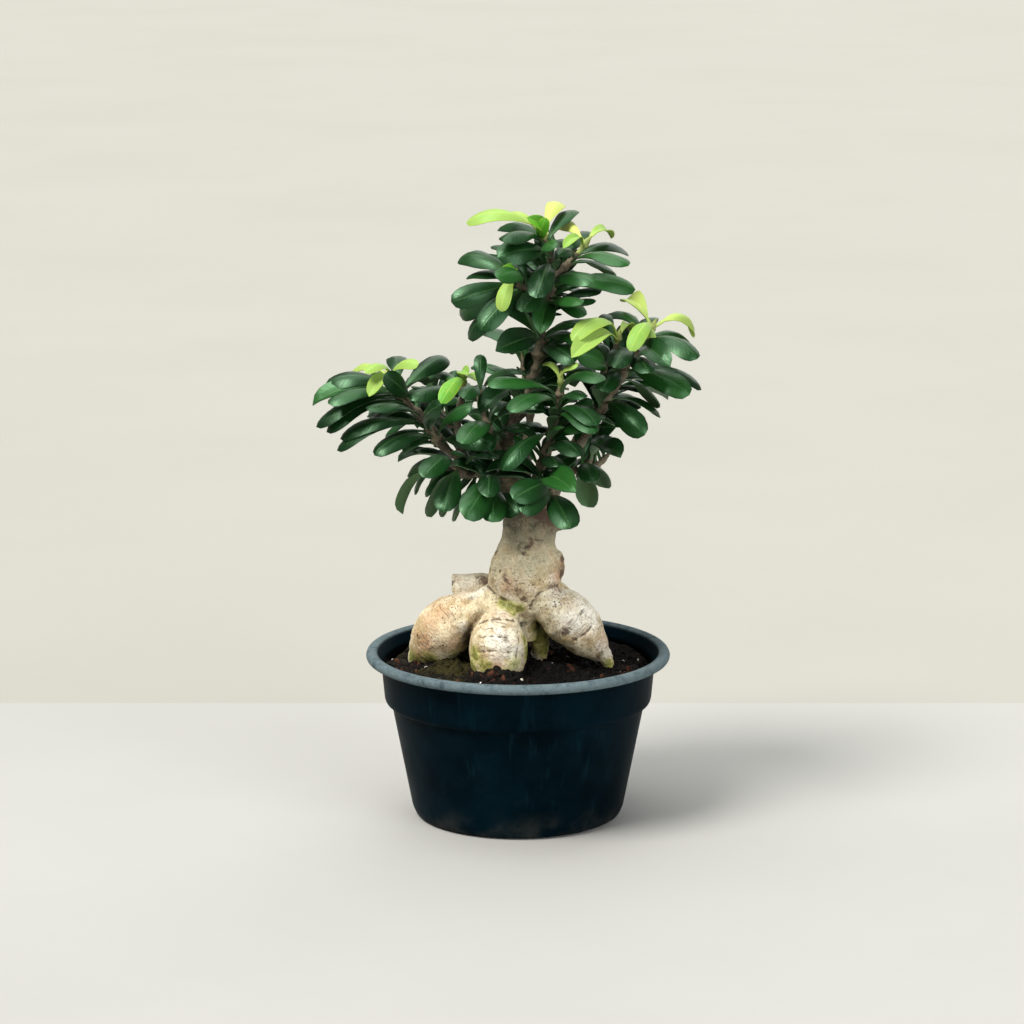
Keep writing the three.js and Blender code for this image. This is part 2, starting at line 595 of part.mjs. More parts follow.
function halfWidth(share, size) {
  const blade = Math.max(share - BLADE_START, 0) / (1 - BLADE_START);
  const outline = Math.sin(Math.PI * blade ** 1.15) ** 0.62;
  return PETIOLE_RADIUS + (LEAF_HALF_WIDTH * size - PETIOLE_RADIUS) * Math.max(outline, 0);
}

function leafFrom(root, tip, facing, size) {
  const chord = tip.clone().sub(root);
  const length = chord.length();
  const along = chord.divideScalar(length);
  const toFront = EYE.clone().sub(tip).normalize();
  const normal = UP.clone().multiplyScalar(1 - facing).addScaledVector(toFront, facing);
  normal.addScaledVector(along, -normal.dot(along)).normalize();
  const leaf = { root, along, normal, side: along.clone().cross(normal), length, facing, size };
  leaf.samples = SAMPLE_SHARES.flatMap((s) => SAMPLE_OFFSETS.map((across) => bladePoint(leaf, s, across)));
  leaf.middle = bladePoint(leaf, 0.6, 0);
  return leaf;
}

// A point of the blade's middle surface: share of its length, and -1 to 1 from edge to edge
function bladePoint(leaf, share, across) {
  const width = halfWidth(share, leaf.size);
  const fold = share > BLADE_START ? LEAF_FOLD * Math.abs(across) * width : 0;
  const rise = LEAF_ARCH * leaf.length * 4 * share * (1 - share) + fold;
  const point = leaf.root.clone().addScaledVector(leaf.along, leaf.length * share);
  return point.addScaledVector(leaf.normal, rise).addScaledVector(leaf.side, across * width);
}

function bladeSolid(leaf) {
  const rings = BLADE_SECTIONS.map((share) => {
    const depth = share > BLADE_START ? LEAF_THICKNESS / 2 : PETIOLE_RADIUS;
    const keel = bladePoint(leaf, share, 0).addScaledVector(leaf.normal, -depth);
    return [bladePoint(leaf, share, -1), bladePoint(leaf, share, 1), keel];
  });
  return solidOfRings(rings);
}

function tipOnSightLine(root, x, z, side, chord) {
  const sight = new THREE.Vector3(x, 0, z).sub(EYE).normalize();
  const toRoot = root.clone().sub(EYE);
  const nearest = toRoot.dot(sight);
  const offset = toRoot.lengthSq() - nearest * nearest;
  const depth = Math.sqrt(Math.max(chord * chord - offset, 0));
  return EYE.clone().addScaledVector(sight, nearest + side * depth);
}

function clearanceTo(leaf, others) {
  let least = Infinity;
  for (const other of others) {
    if (leaf.middle.distanceTo(other.middle) > leaf.length + other.length) continue;
    for (const a of leaf.samples) {
      for (const b of other.samples) least = Math.min(least, a.distanceToSquared(b));
    }
  }
  return Math.sqrt(least);
}

// Where a point shows from the front, on the plane y = 0
function frontPlace(point) {
  const part = EYE.y / (EYE.y - point.y);
  return new THREE.Vector2(EYE.x + (point.x - EYE.x) * part, EYE.z + (point.z - EYE.z) * part);
}

function readLeaves(twig, rows, others) {
  const made = [];
  for (const [share, x, z, side, facing, size] of rows) {
    const root = pointOnTwig(twig, share).point;
    let best = null;
    let most = -1;
    for (const factor of CHORD_FACTORS) {
      const tip = tipOnSightLine(root, x, z, side, LEAF_LENGTH * size * factor);
      const leaf = leafFrom(root, tip, facing, size);
      const room = clearanceTo(leaf, [...others, ...made]);
      if (room > most) [best, most] = [leaf, room];
      if (room > FILL_CLEARANCE) break;
    }
    made.push(best);
  }
  return made;
}

function isInCrown(place) {
  let inside = false;
  CROWN_OUTLINE.forEach(([x, z], i) => {
    const [nextX, nextZ] = CROWN_OUTLINE[(i + 1) % CROWN_OUTLINE.length];
    const spans = z > place.y !== nextZ > place.y;
    if (spans && place.x < x + ((nextX - x) * (place.y - z)) / (nextZ - z)) inside = !inside;
  });
  return inside;
}

// A leaf set by the rule stays in the crown's outline and behind the leaves read from the front.
function staysBehind(leaf, shown) {
  return leaf.samples.every((point) => {
    const place = frontPlace(point);
    const covers = (other) =>
      point.y < other.depth - COVER_DEPTH && place.distanceTo(other.place) < COVER_REACH;
    return isInCrown(place) && !shown.some(covers);
  });
}

// Leaves in a golden-angle spiral along a twig, each turned or lifted until it fits
function fillLeaves(twig, stemIndex, others, shown) {
  const total = twig.lengths[twig.lengths.length - 1];
  const count = Math.round((total * (1 - FILL_FIRST)) / FILL_SPACING);
  const made = [];
  for (let i = 0; i < count; i++) {
    const share = THREE.MathUtils.lerp(FILL_FIRST, FILL_LAST, (i + 0.6) / count);
    const { point, along } = pointOnTwig(twig, share);
    const across = along.clone().cross(levelFor(along)).normalize();
    const outward = along.clone().cross(across);
    const size = FILL_SIZE[0] + FILL_SIZE[1] * scatter(i + stemIndex * 3 + 1, SIZE_STRIDE);
    const facing = FILL_FACING * scatter(i + stemIndex + 1, FACING_STRIDE);
    const turn = i * GOLDEN_TURN + stemIndex * FILL_START_TURN;
    const tries = FILL_PITCHES.flatMap((pitch) => FILL_SWINGS.map((swing) => [pitch, turn + swing]));
    for (const [pitch, angle] of tries) {
      const direction = across.clone().multiplyScalar(Math.cos(angle));
      direction.addScaledVector(outward, Math.sin(angle)).multiplyScalar(Math.cos(pitch));
      direction.addScaledVector(along, Math.sin(pitch));
      const tip = point.clone().addScaledVector(direction, LEAF_LENGTH * size);
      const leaf = leafFrom(point, tip, facing, size);
      if (staysBehind(leaf, shown) && clearanceTo(leaf, [...others, ...made]) > FILL_CLEARANCE) {
        made.push(leaf);
        break;
      }
    }
  }
  return made;
}

// Twigs and their stubs
const PLANT = [
  ...Object.entries(STEMS).map(([name, stem]) => ({ name, look: LEAF, stub: STUB_LENGTH, ...stem })),
  ...Object.entries(SHOOTS).map(([name, shoot]) => ({
    name,
    look: YOUNG_LEAF,
    stub: SHOOT_STUB_LENGTH,
    radii: SHOOT_RADII,
    ...shoot,
  })),
];
const bark = {
  trunk: [
    tube(TRUNK, TRUNK_SIDES, trunkSwell),
    tubers(0),
    tube(CUT_ROOT, TUBER_SIDES, tuberSwell),
    ...KNOBS.map(knob),
    ...Object.values(LIMBS).map((stations) => tube(stations, LIMB_SIDES)),
  ],
};
for (const stem of PLANT) {
  const [footRadius, tipRadius] = stem.radii;
  const { start, stub } = forkOf(stem.path, footRadius, stem.stub);
  stem.twig = twigOf(stem.path, start);
  const { points, lengths } = stem.twig;
  const total = lengths[lengths.length - 1];
  const radiusAt = (i) => THREE.MathUtils.lerp(footRadius, tipRadius, lengths[i] / total);
  bark[stem.parent].push(stub);
  bark[stem.name] = [tube(points.map((p, i) => [...p.toArray(), radiusAt(i)]), TWIG_SIDES)];
}

// Leaves read from the front first, then those that the rule adds behind them
const placed = [];
for (const stem of PLANT) {
  stem.blades = readLeaves(stem.twig, stem.leaves, placed);
  placed.push(...stem.blades);
}
const shown = placed.flatMap((leaf) =>
  leaf.samples.map((point) => ({ place: frontPlace(point), depth: point.y })),
);
const green = PLANT.filter((stem) => stem.look === LEAF);
const young = PLANT.filter((stem) => stem.look === YOUNG_LEAF);
green.forEach((stem, stemIndex) => {
  stem.fill = fillLeaves(stem.twig, stemIndex, placed, shown);
  placed.push(...stem.fill);
});

// Each blade in its turn is bent until it clears every other node.
const BEND_STEP = 0.07; // radians
const BEND_RINGS = 6;
const BEND_TURNS = 8;
const LEAST_CLEARANCE = 0.15;

function boxesMeet(a, b) {
  return [0, 1, 2].every((axis) => a.min[axis] < b.max[axis] && b.min[axis] < a.max[axis]);
}

function bent(leaf, swing, pitch) {
  const tip = leaf.root.clone().addScaledVector(leaf.along, leaf.length);
  tip.sub(leaf.root);
  tip.applyAxisAngle(leaf.normal, swing).applyAxisAngle(leaf.side, pitch).add(leaf.root);
  return leafFrom(leaf.root, tip, leaf.facing, leaf.size);
}

const standing = Object.entries(bark).flatMap(([name, solids]) =>
  solids.map((solid) => ({ name, solid, box: solid.boundingBox() })),
);

function crosses(blade, other) {
  if (other.name === blade.name || !boxesMeet(blade.box, other.box)) return false;
  return blade.solid.minGap(other.solid, 1) < LEAST_CLEARANCE;
}

function clearBlade(leaf, name) {
  for (let ring = 0; ring <= BEND_RINGS; ring++) {
    for (let turn = 0; turn < (ring ? BEND_TURNS : 1); turn++) {
      const angle = (turn / BEND_TURNS) * 2 * Math.PI;
      const bend = ring * BEND_STEP;
      const solid = bladeSolid(bent(leaf, bend * Math.cos(angle), bend * Math.sin(angle)));
      const blade = { name, solid, box: solid.boundingBox() };
      if (!standing.some((other) => crosses(blade, other))) return blade;
    }
  }
  return null;
}

const group = new THREE.Group();
group.name = "ficus_ginseng_bonsai";
const turns = [
  ...young.map((stem) => [stem.name, stem.blades]),
  ...green.map((stem) => [stem.name, stem.blades]),
  ...green.map((stem) => [stem.name, stem.fill]),
];
for (const [name, leaves] of turns) {
  for (const leaf of leaves) {
    const blade = clearBlade(leaf, name);
    if (!blade) continue;
    standing.push(blade);
    bark[name].push(blade.solid);
  }
}
group.add(meshOf("pot", pot(), POT_PLASTIC));
group.add(meshOf("soil", soil(tubers(ROOT_SPACE)), SOIL));
group.add(meshOf("trunk", union(bark.trunk), BARK));
for (const stem of PLANT) group.add(meshOf(stem.name, union(bark[stem.name]), stem.look));

export default group;
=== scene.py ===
# Ficus ginseng bonsai in a plastic nursery pot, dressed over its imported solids.
# Metres, +Z up, the front faces -Y. The plant's own places are millimetres, and MM turns them into metres.
import functools
import math

import bmesh
import bpy
import numpy as np
from bpy.props import FloatProperty, FloatVectorProperty, IntProperty, PointerProperty
from mathutils import Matrix, Vector, kdtree, noise
from mathutils.bvhtree import BVHTree


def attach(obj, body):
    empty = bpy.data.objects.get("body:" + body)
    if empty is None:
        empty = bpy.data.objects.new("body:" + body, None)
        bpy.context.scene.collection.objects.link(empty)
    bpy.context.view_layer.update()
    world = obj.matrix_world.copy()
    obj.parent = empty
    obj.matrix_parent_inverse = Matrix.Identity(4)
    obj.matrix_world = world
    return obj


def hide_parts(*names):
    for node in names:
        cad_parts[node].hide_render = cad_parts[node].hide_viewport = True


bl_info = {
    "name": "Potted ficus ginseng bonsai",
    "version": (1, 0, 0),
    "blender": (4, 5, 0),
    "location": "3D View > Sidebar > Bonsai",
    "description": "Builds the pot, soil, bark and leaves of a ficus ginseng bonsai over its solids",
    "category": "Add Mesh",
}

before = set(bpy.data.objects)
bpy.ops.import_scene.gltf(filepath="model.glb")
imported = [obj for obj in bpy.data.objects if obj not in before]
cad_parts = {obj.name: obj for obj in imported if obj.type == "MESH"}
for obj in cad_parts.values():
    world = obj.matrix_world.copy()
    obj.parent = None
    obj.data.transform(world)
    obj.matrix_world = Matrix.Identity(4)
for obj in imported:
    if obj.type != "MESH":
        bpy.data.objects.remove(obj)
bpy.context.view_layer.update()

MM = 0.001
BODY = "root"

# Camera, which stands where the photograph was taken
EYE = np.array([-3.55, -2134.7, 632.2])
PITCH = math.radians(11.9037)
LENS = 130.625
SENSOR = 36.0
FRAME_SIDE = 1024

# Pot
POT_HEIGHT = 100.0
LIP_RADIUS = 90.0
LIP_HEIGHT = 6.6
COLLAR_RADIUS = 81.0
COLLAR_FOOT_RADIUS = 79.0
COLLAR_FOOT_Z = 69.0
COLLAR_STEP_Z = COLLAR_FOOT_Z + 2
COLLAR_TOP_Z = POT_HEIGHT - LIP_HEIGHT - 1
BODY_RADIUS = 75.0
BASE_RADIUS = 57.5
BASE_ROUND_WIDTH = 5.4
BASE_ROUND_HEIGHT = 6.0
WALL = 1.7
FLOOR = 2.0
EDGE_ROUNDING = 1.1
EDGE_STEPS = 4
DRAIN_RADIUS = 5.0
DRAIN_CIRCLE = 36.0
DRAIN_COUNT = 6
DRAIN_SIDES = 32
POT_SHEEN = 0.015

# Soil: its level, its waves and their lengths, and the gap that pieces keep to what carries them
SOIL_Z = 88.0
SOIL_WAVE = 1.6
LONG_WAVE = (17, 14)
SHORT_WAVE = (7, 9)
SEAT_GAP = 0.3

# Heaps by x, y, radius and rise, and lumps by height, size and layer of their noise
HEAPS = ((-11, -29, 12, 5.6), (-42, -4, 14, 5.4))
SOIL_LUMPS = ((1.1, 9, 3), (0.8, 3.2, 8), (0.5, 1.4, 1))
ROOT_RISE = 1.6
ROOT_RISE_REACH = 3
# Painted shadow on the soil between the front and right roots: its middle x and y, and its reach
ROOT_SHADOW_PLACE = (18, -26)
ROOT_SHADOW_REACH = 42.0

# Grains: where, how many on a square metre, least and most radius, flatness, stretch, fineness and seed
GRAINS = {
    "soil_crumbs": ("everywhere", 330000, 0.5, 2.1, 0.75, 1.2, 1, 1),
    "soil_lumps": ("beside roots", 42000, 1.6, 3.8, 0.7, 1.3, 2, 2),
    "perlite_grains": ("everywhere", 3200, 0.6, 1.7, 0.9, 1.1, 2, 3),
    "bark_chips": ("in spots", 60000, 0.9, 2.8, 0.45, 1.7, 2, 4),
}
BESIDE_ROOTS = 6
CHIP_SPOTS = ((68, -18), (-9, -34), (-66, 4))
CHIP_REACH = 9
GRAIN_SINK = 0.2
GRAIN_CLEARANCE = 0.8
GRAIN_TURN = 6.283

# Leaves as the solids have them
LEAF_LENGTH = 44.0
LEAF_HALF_WIDTH = 8.8
LEAF_THICKNESS = 1.1
LEAF_FRONT = 1.15
LEAF_ROUNDNESS = 0.62
PETIOLE_RADIUS = 0.85
LEAF_ARCH = 0.1
LEAF_FOLD = 0.12
STUB_LENGTH = 3.0
SHOOT_STUB_LENGTH = 0.8
LEAST_PIECE = 0.8
SHOOT_RADII = (1.3, 1.1)

# Dressed leaves, old and fresh
OLD_LEAF = {"width": 0.74, "arch": 1, "swing": 0.0, "folded": 0.15, "thickness": 1}
FRESH_LEAF = {"width": 0.66, "arch": 1.5, "swing": 0.4, "folded": 0.45, "thickness": 0.8}
WIDTH_SPREAD = 0.14
CLOSED_FOLD = 0.6
CLOSED_BOW = 0.1
OPEN_FOLD = 0.05
TONE_SHARE = 0.85
LEAF_SEED = 21

# The dressed blade
SECTION_EASE = 1.45
OUTLINE_FRONT = 0.8
OUTLINE_END = 2.6
OUTLINE_PEAK = 0.584
PETIOLE_TAPER = 0.85
HUMP_RISE = 0.85
HUMP_FALL = 0.9
RIPPLES = 1.6
BOW_LEVEL = 0.45
STALK_THICKENING = 1.2

# Twigs, with a bud by run and share of the radius
TWIG_STEP = 1.1
TWIG_TAIL = 2.5
TWIG_RELIEF = 0.6
NODE_SWELLING = 0.5
NODE_REACH = 1.5
BUD_SHAPE = ((1.2, 0.85), (2.6, 0.62), (4.2, 0.38), (5.6, 0.14))

# The bark's body
PATH_STEP = 1.5
THICK_RADIUS = 6
THICK_SIDES = 32
THIN_SIDES = 16
LIMB_BARK = 0.35
SKIN_EASE = 0.5
SKIN_PASSES = 6
RING_SHIFT = 37

# The bark's lumps and grain: height, size and shift of each noise
BARK_LUMPS = ((1.2, 17, 0), (0.8, 7.5, 9))
BARK_GRAIN = ((0.42, 3.6, 0), (0.18, 1.8, 0))
LIMB_LUMPS = 0.25

# Grooves round the roots
GROOVE_DEPTH = 0.42
GROOVE_STRENGTH = 2.2
GROOVE_WIDTH = 0.09
GROOVE_SPACING = 2.3
GROOVE_DRIFT = 26
GROOVE_BREAK = 12
FAINT_GROOVES = 0.3

# The scar: its pixel, its radius, and height and width of its lip and its pit
SCAR_SPOT = (525, 548)
SCAR_RADIUS = 3.6
SCAR_LIP = (0.7, 0.9)
SCAR_PIT = (0.8, 2)

# Short rays that look for bark beside each place, for the painted shade in the folds between swellings
RAY_TILTS = (0.6, 1.5)
RAY_COUNT = 5
RAY_TURN = 1.2566
RAY_LIFT = 0.6
CREVICE_REACH = 11.0

# Where the bark turns grey, and where painted shade under the crown darkens the neck and the limbs: the
# height it starts at, over what rise, and how far it goes
GREY_BARK = (128, 22, 1)
NECK_SHADE = (158, 18, 0.95)
LIMB_SHADE = (184, 10, 0.95)
LOW_BARK = 112
SOIL_STAIN = 14

# Patches where the photograph shows no mark: size, lowest and highest noise, and seed
BLOTCHES = {
    "warm": (14, 0.25, 0.5, 5),
    "pale": (16, 0.1, 0.4, 7),
    "stain": (8, 0.34, 0.55, 11),
    "moss": (9, 0.0, 0.3, 2),
    "freckle": (12, 0.0, 0.5, 13),
}

# Tones in the bark: colour, share, lowest and highest noise, then the noise's scale, detail,
# roughness and distortion
BARK_TONES = (
    ((206, 172, 142), 0.4, 0.5, 0.7, 70, 4, 0.6, 0),
    ((134, 108, 74), 0.5, 0.52, 0.7, 95, 6, 0.76, 0.3),
    ((248, 240, 212), 0.5, 0.52, 0.68, 230, 5, 0.74, 0.2),
    ((118, 94, 66), 0.5, 0.54, 0.68, 330, 5, 0.76, 0.2),
)

# Marks on the bark: pixel x and y, radius in millimetres and strength
BARK_SPOTS = {
    # The stains at the neck's right, near pixel 550, 515, are brown bark and painted shade under the crown
    "stain": [
        (484, 580, 4.6, 1), (478, 577, 3, 0.8), (539, 512, 8, 1), (552, 520, 8, 1), (560, 505, 7, 0.9),
        (560, 551, 3.4, 1), (562, 559, 3.4, 1), (561, 574, 4, 1), (557, 552, 2, 0.8), (558, 590, 4, 0.7),
        (497, 553, 3, 0.8), (490, 570, 2.5, 0.8), (531, 543, 4, 0.7), (521, 550, 3.4, 0.72),
        (528, 547, 3.2, 0.75), (524, 553, 3, 0.7), (566, 632, 5, 0.9), (575, 640, 4, 0.7),
        (600, 655, 6, 0.7), (500, 601, 4, 0.9), (524, 599, 3, 0.8), (548, 618, 5, 0.6),
        (505, 640, 8, 0.5), (418, 640, 6, 0.5), (585, 600, 6, 0.5), (452, 588, 3, 1), (452, 583, 2.4, 1),
        (508, 580, 7, 0.6), (518, 590, 6, 0.6), (500, 571, 1.4, 1), (540, 560, 7, 0.5),
    ],
    "warm": [
        (423, 640, 8, 1), (440, 612, 8, 0.7), (430, 625, 7, 0.8), (450, 645, 8, 0.6), (418, 655, 5, 1),
        (557, 577, 6, 0.9), (508, 586, 5, 0.7), (519, 591, 4, 0.6), (561, 565, 4, 0.8),
        (500, 615, 8, 0.4), (460, 600, 8, 0.4), (495, 668, 6, 0.8), (603, 640, 6, 0.5),
    ],
    "moss": [
        (503, 604, 4, 0.9), (511, 606, 4, 1), (519, 609, 3.6, 0.9), (514, 613, 3, 0.6), (415, 660, 7, 1),
        (430, 660, 7, 0.8), (455, 655, 7, 0.6), (474, 655, 6, 0.8), (472, 665, 5, 1), (527, 650, 7, 0.9),
        (525, 640, 5, 0.8), (485, 667, 6, 0.7), (540, 640, 8, 0.9), (545, 650, 6, 1), (537, 628, 5, 0.8),
        (609, 665, 4, 0.9), (515, 663, 6, 0.6),
    ],
    # Pale marks: pale bark, with a painted highlight on the tops of the right and front roots
    "pale": [
        (588, 612, 13, 1), (575, 620, 12, 1), (595, 622, 8, 0.9), (500, 640, 13, 0.9),
        (495, 655, 9, 0.7), (465, 583, 10, 1), (500, 590, 5, 0.6), (525, 585, 10, 0.5),
    ],
    # Dark marks: painted shade on the neck under the crown, and darker bark on the knob's right edge
    "dark": [
        (508, 516, 9, 0.6), (535, 525, 8, 0.8), (553, 528, 7, 0.9), (562, 545, 5, 0.7),
        (563, 570, 5, 0.8),
    ],
    "freckle": [
        (556, 600, 8, 1), (545, 608, 6, 1), (600, 648, 7, 0.9), (520, 585, 9, 0.9), (425, 645, 9, 0.7),
    ],
    # Hollow marks: painted shade in the fold between the left and front roots and in the scar's pit
    "hollow_shade": [(470, 598, 3, 0.6), (527, 548, 3, 0.6)],
}

# Wrinkles of the bark, sunk and darkened by painted shade: depth and width in millimetres, and pixels along
# each; they break in places
WRINKLE_BREAK = 2.6
WRINKLES = (
    (2.3, 1.6, ((561, 585), (553, 587), (546, 590), (540, 594), (535, 600), (531, 606), (530, 612))),
    (1.2, 1.5, ((487, 585), (490, 590), (495, 594), (501, 598), (506, 601))),
    (0.7, 1.4, ((479, 624), (488, 620), (500, 619), (510, 620), (518, 622))),
    (0.9, 1.0, ((518, 632), (518.5, 642), (517, 650), (516, 658))),
    (0.5, 1.1, ((482, 629), (490, 628.5), (498, 629.5))),
    (0.6, 1.1, ((479, 637.5), (490, 636.5), (502, 637), (511, 638.5))),
    (0.6, 1.1, ((475.5, 652), (488, 651), (500, 651.5), (512, 653))),
    (1.0, 1.2, ((592, 626), (588, 631), (582, 636), (575, 640))),
    (0.6, 1.1, ((585, 605), (583, 610), (581, 615))),
    (0.8, 1.1, ((530, 538), (538, 540.5), (546, 540.5))),
    (0.6, 1.1, ((519, 583), (529, 585), (539, 584))),
    (0.3, 0.8, ((449, 644), (452, 639), (456, 634))),
    (0.4, 0.7, ((521.5, 599), (524, 596.5), (528, 598), (527.5, 602), (523, 602), (521.5, 599))),
)

# Stage, in metres. Lamps: name, place each shines from, width in degrees, share of the light and tint
LAMPS = (
    ("key lamp", (-1.02, -0.86, 2.0), 26, 0.46, (1.0, 0.97, 0.92)),
    ("fill lamp", (1.15, -1.55, 0.95), 44, 0.23, (0.98, 0.99, 1.0)),
    ("top lamp", (-0.3, 0.2, 1.7), 56, 0.26, (1.0, 1.0, 0.98)),
    ("back lamp", (0.5, 1.6, 1.2), 50, 0.08, (1.0, 1.0, 1.0)),
)
LAMP_AIM = (0, 0, 0.18)
FLOOR_REACH = 30.0
FAR_CLIP = 50

# Roots, cut root, trunk, knobs and limbs: x, y, z and radius at each station
TUBERS = {
    "left": [
        [-8, 2, 131, 11], [-22, 3, 124.8, 10], [-33, 5, 118.4, 14.2], [-43, 8, 110.2, 17.2],
        [-50.5, 11, 101, 15], [-55.5, 14, 94, 10.4], [-59, 16, 86, 6], [-60, 18, 66, 2],
    ],
    "front": [
        [-6, -2, 132, 8], [-8, -8.5, 124, 9.2], [-10, -11.5, 117.4, 12.6], [-11.5, -13, 109, 16.6],
        [-12, -13, 99, 17.2], [-12, -12, 91, 15], [-12, -11, 84, 7.5], [-13, -12, 66, 3],
    ],
    "right": [
        [11, -4, 134, 9], [17.6, -6.5, 128, 11.4], [25.5, -6, 122.8, 15], [33.5, -5, 115.6, 15.2],
        [41, -3.5, 106.6, 12.4], [47.6, -2, 98.8, 7.8], [53.2, -1, 91, 4], [56, 0, 70, 1.8],
    ],
    "small_middle": [
        [10, 4, 127, 7], [12.4, 9, 114, 6.6], [13, 11, 102, 6.2], [13.4, 13, 92, 4.6], [14, 14, 80, 2.6],
    ],
    "back_left": [
        [-4, 8, 132, 12], [-14, 20, 124, 14], [-25, 31, 112, 13.4], [-34, 39, 100, 9.5],
        [-39, 44, 88, 5.4], [-41, 46, 68, 2.4],
    ],
    "back_right": [
        [10, 8, 132, 11], [20, 20, 123, 13.4], [28, 31, 112, 13.2], [34, 39, 100, 9.6],
        [38, 44, 88, 5.2], [39, 46, 68, 2.4],
    ],
    "back_middle": [[4, 12, 130, 9], [3, 28, 117, 9.4], [2, 38, 103, 7.4], [1, 43, 88, 4], [1, 45, 72, 2]],
    "thin_front": [[6, -4, 128, 2], [9.5, 4, 117, 1.5], [8.5, 12, 103, 1.3], [7, 16, 82, 1.1]],
}

CUT_ROOT = [[-10, 12, 135, 6.6], [-24, 16, 135.5, 6.2], [-39, 17, 135, 5.6]]

TRUNK = [
    [3, 6, 104, 9], [3, 6, 119, 12], [3, 2, 127, 14], [3.3, 0, 132, 18.6], [4, 0, 139, 21.6],
    [4.1, 0, 147, 20.9], [5.3, 0, 157, 18.2], [6.6, 0, 166, 15.6], [6.9, 0, 175, 15.9],
    [6.8, 0, 183, 15], [5, 0, 193, 10],
]

KNOBS = [
    [20.6, -1.5, 154.5, 6.2], [20.4, -0.5, 147.5, 7], [4, -15.2, 163.5, 3.6], [24, 3, 176, 5.6],
    [-8.5, -3, 153, 5],
]

LIMBS = {
    "leader": [[4, 0, 179, 10], [-3, 0, 195, 5.8], [-8, -1, 212, 3.7]],
    "right": [[13, 2, 180, 8], [21, 4, 194, 4], [28, 5, 208, 3.1], [38, 6, 224, 2.5]],
    "left": [[-2, -2, 185, 7], [-14, -4, 199, 3.6], [-25, -6, 209, 2.8], [-39, -8, 219, 2.2]],
    "centre": [[9, -9, 187, 3.6], [9, -15, 203, 2.4]],
    "fork": [[-8, -1, 212, 2.4], [-12, -11, 223, 1.9]],
    "left_inner": [[-30, -7, 213, 2.4], [-35, -1, 225, 1.9], [-35, 4, 241, 1.8]],
    "back_left": [[-2, 6, 184, 6.4], [-17, 24, 203, 3.4], [-30, 38, 219, 2.4]],
    "back_right": [[12, 8, 183, 6.4], [26, 26, 204, 3.4], [38, 40, 223, 2.4]],
    "back_middle": [[5, 12, 184, 5.6], [4, 32, 206, 3], [7, 44, 227, 2.4]],
}

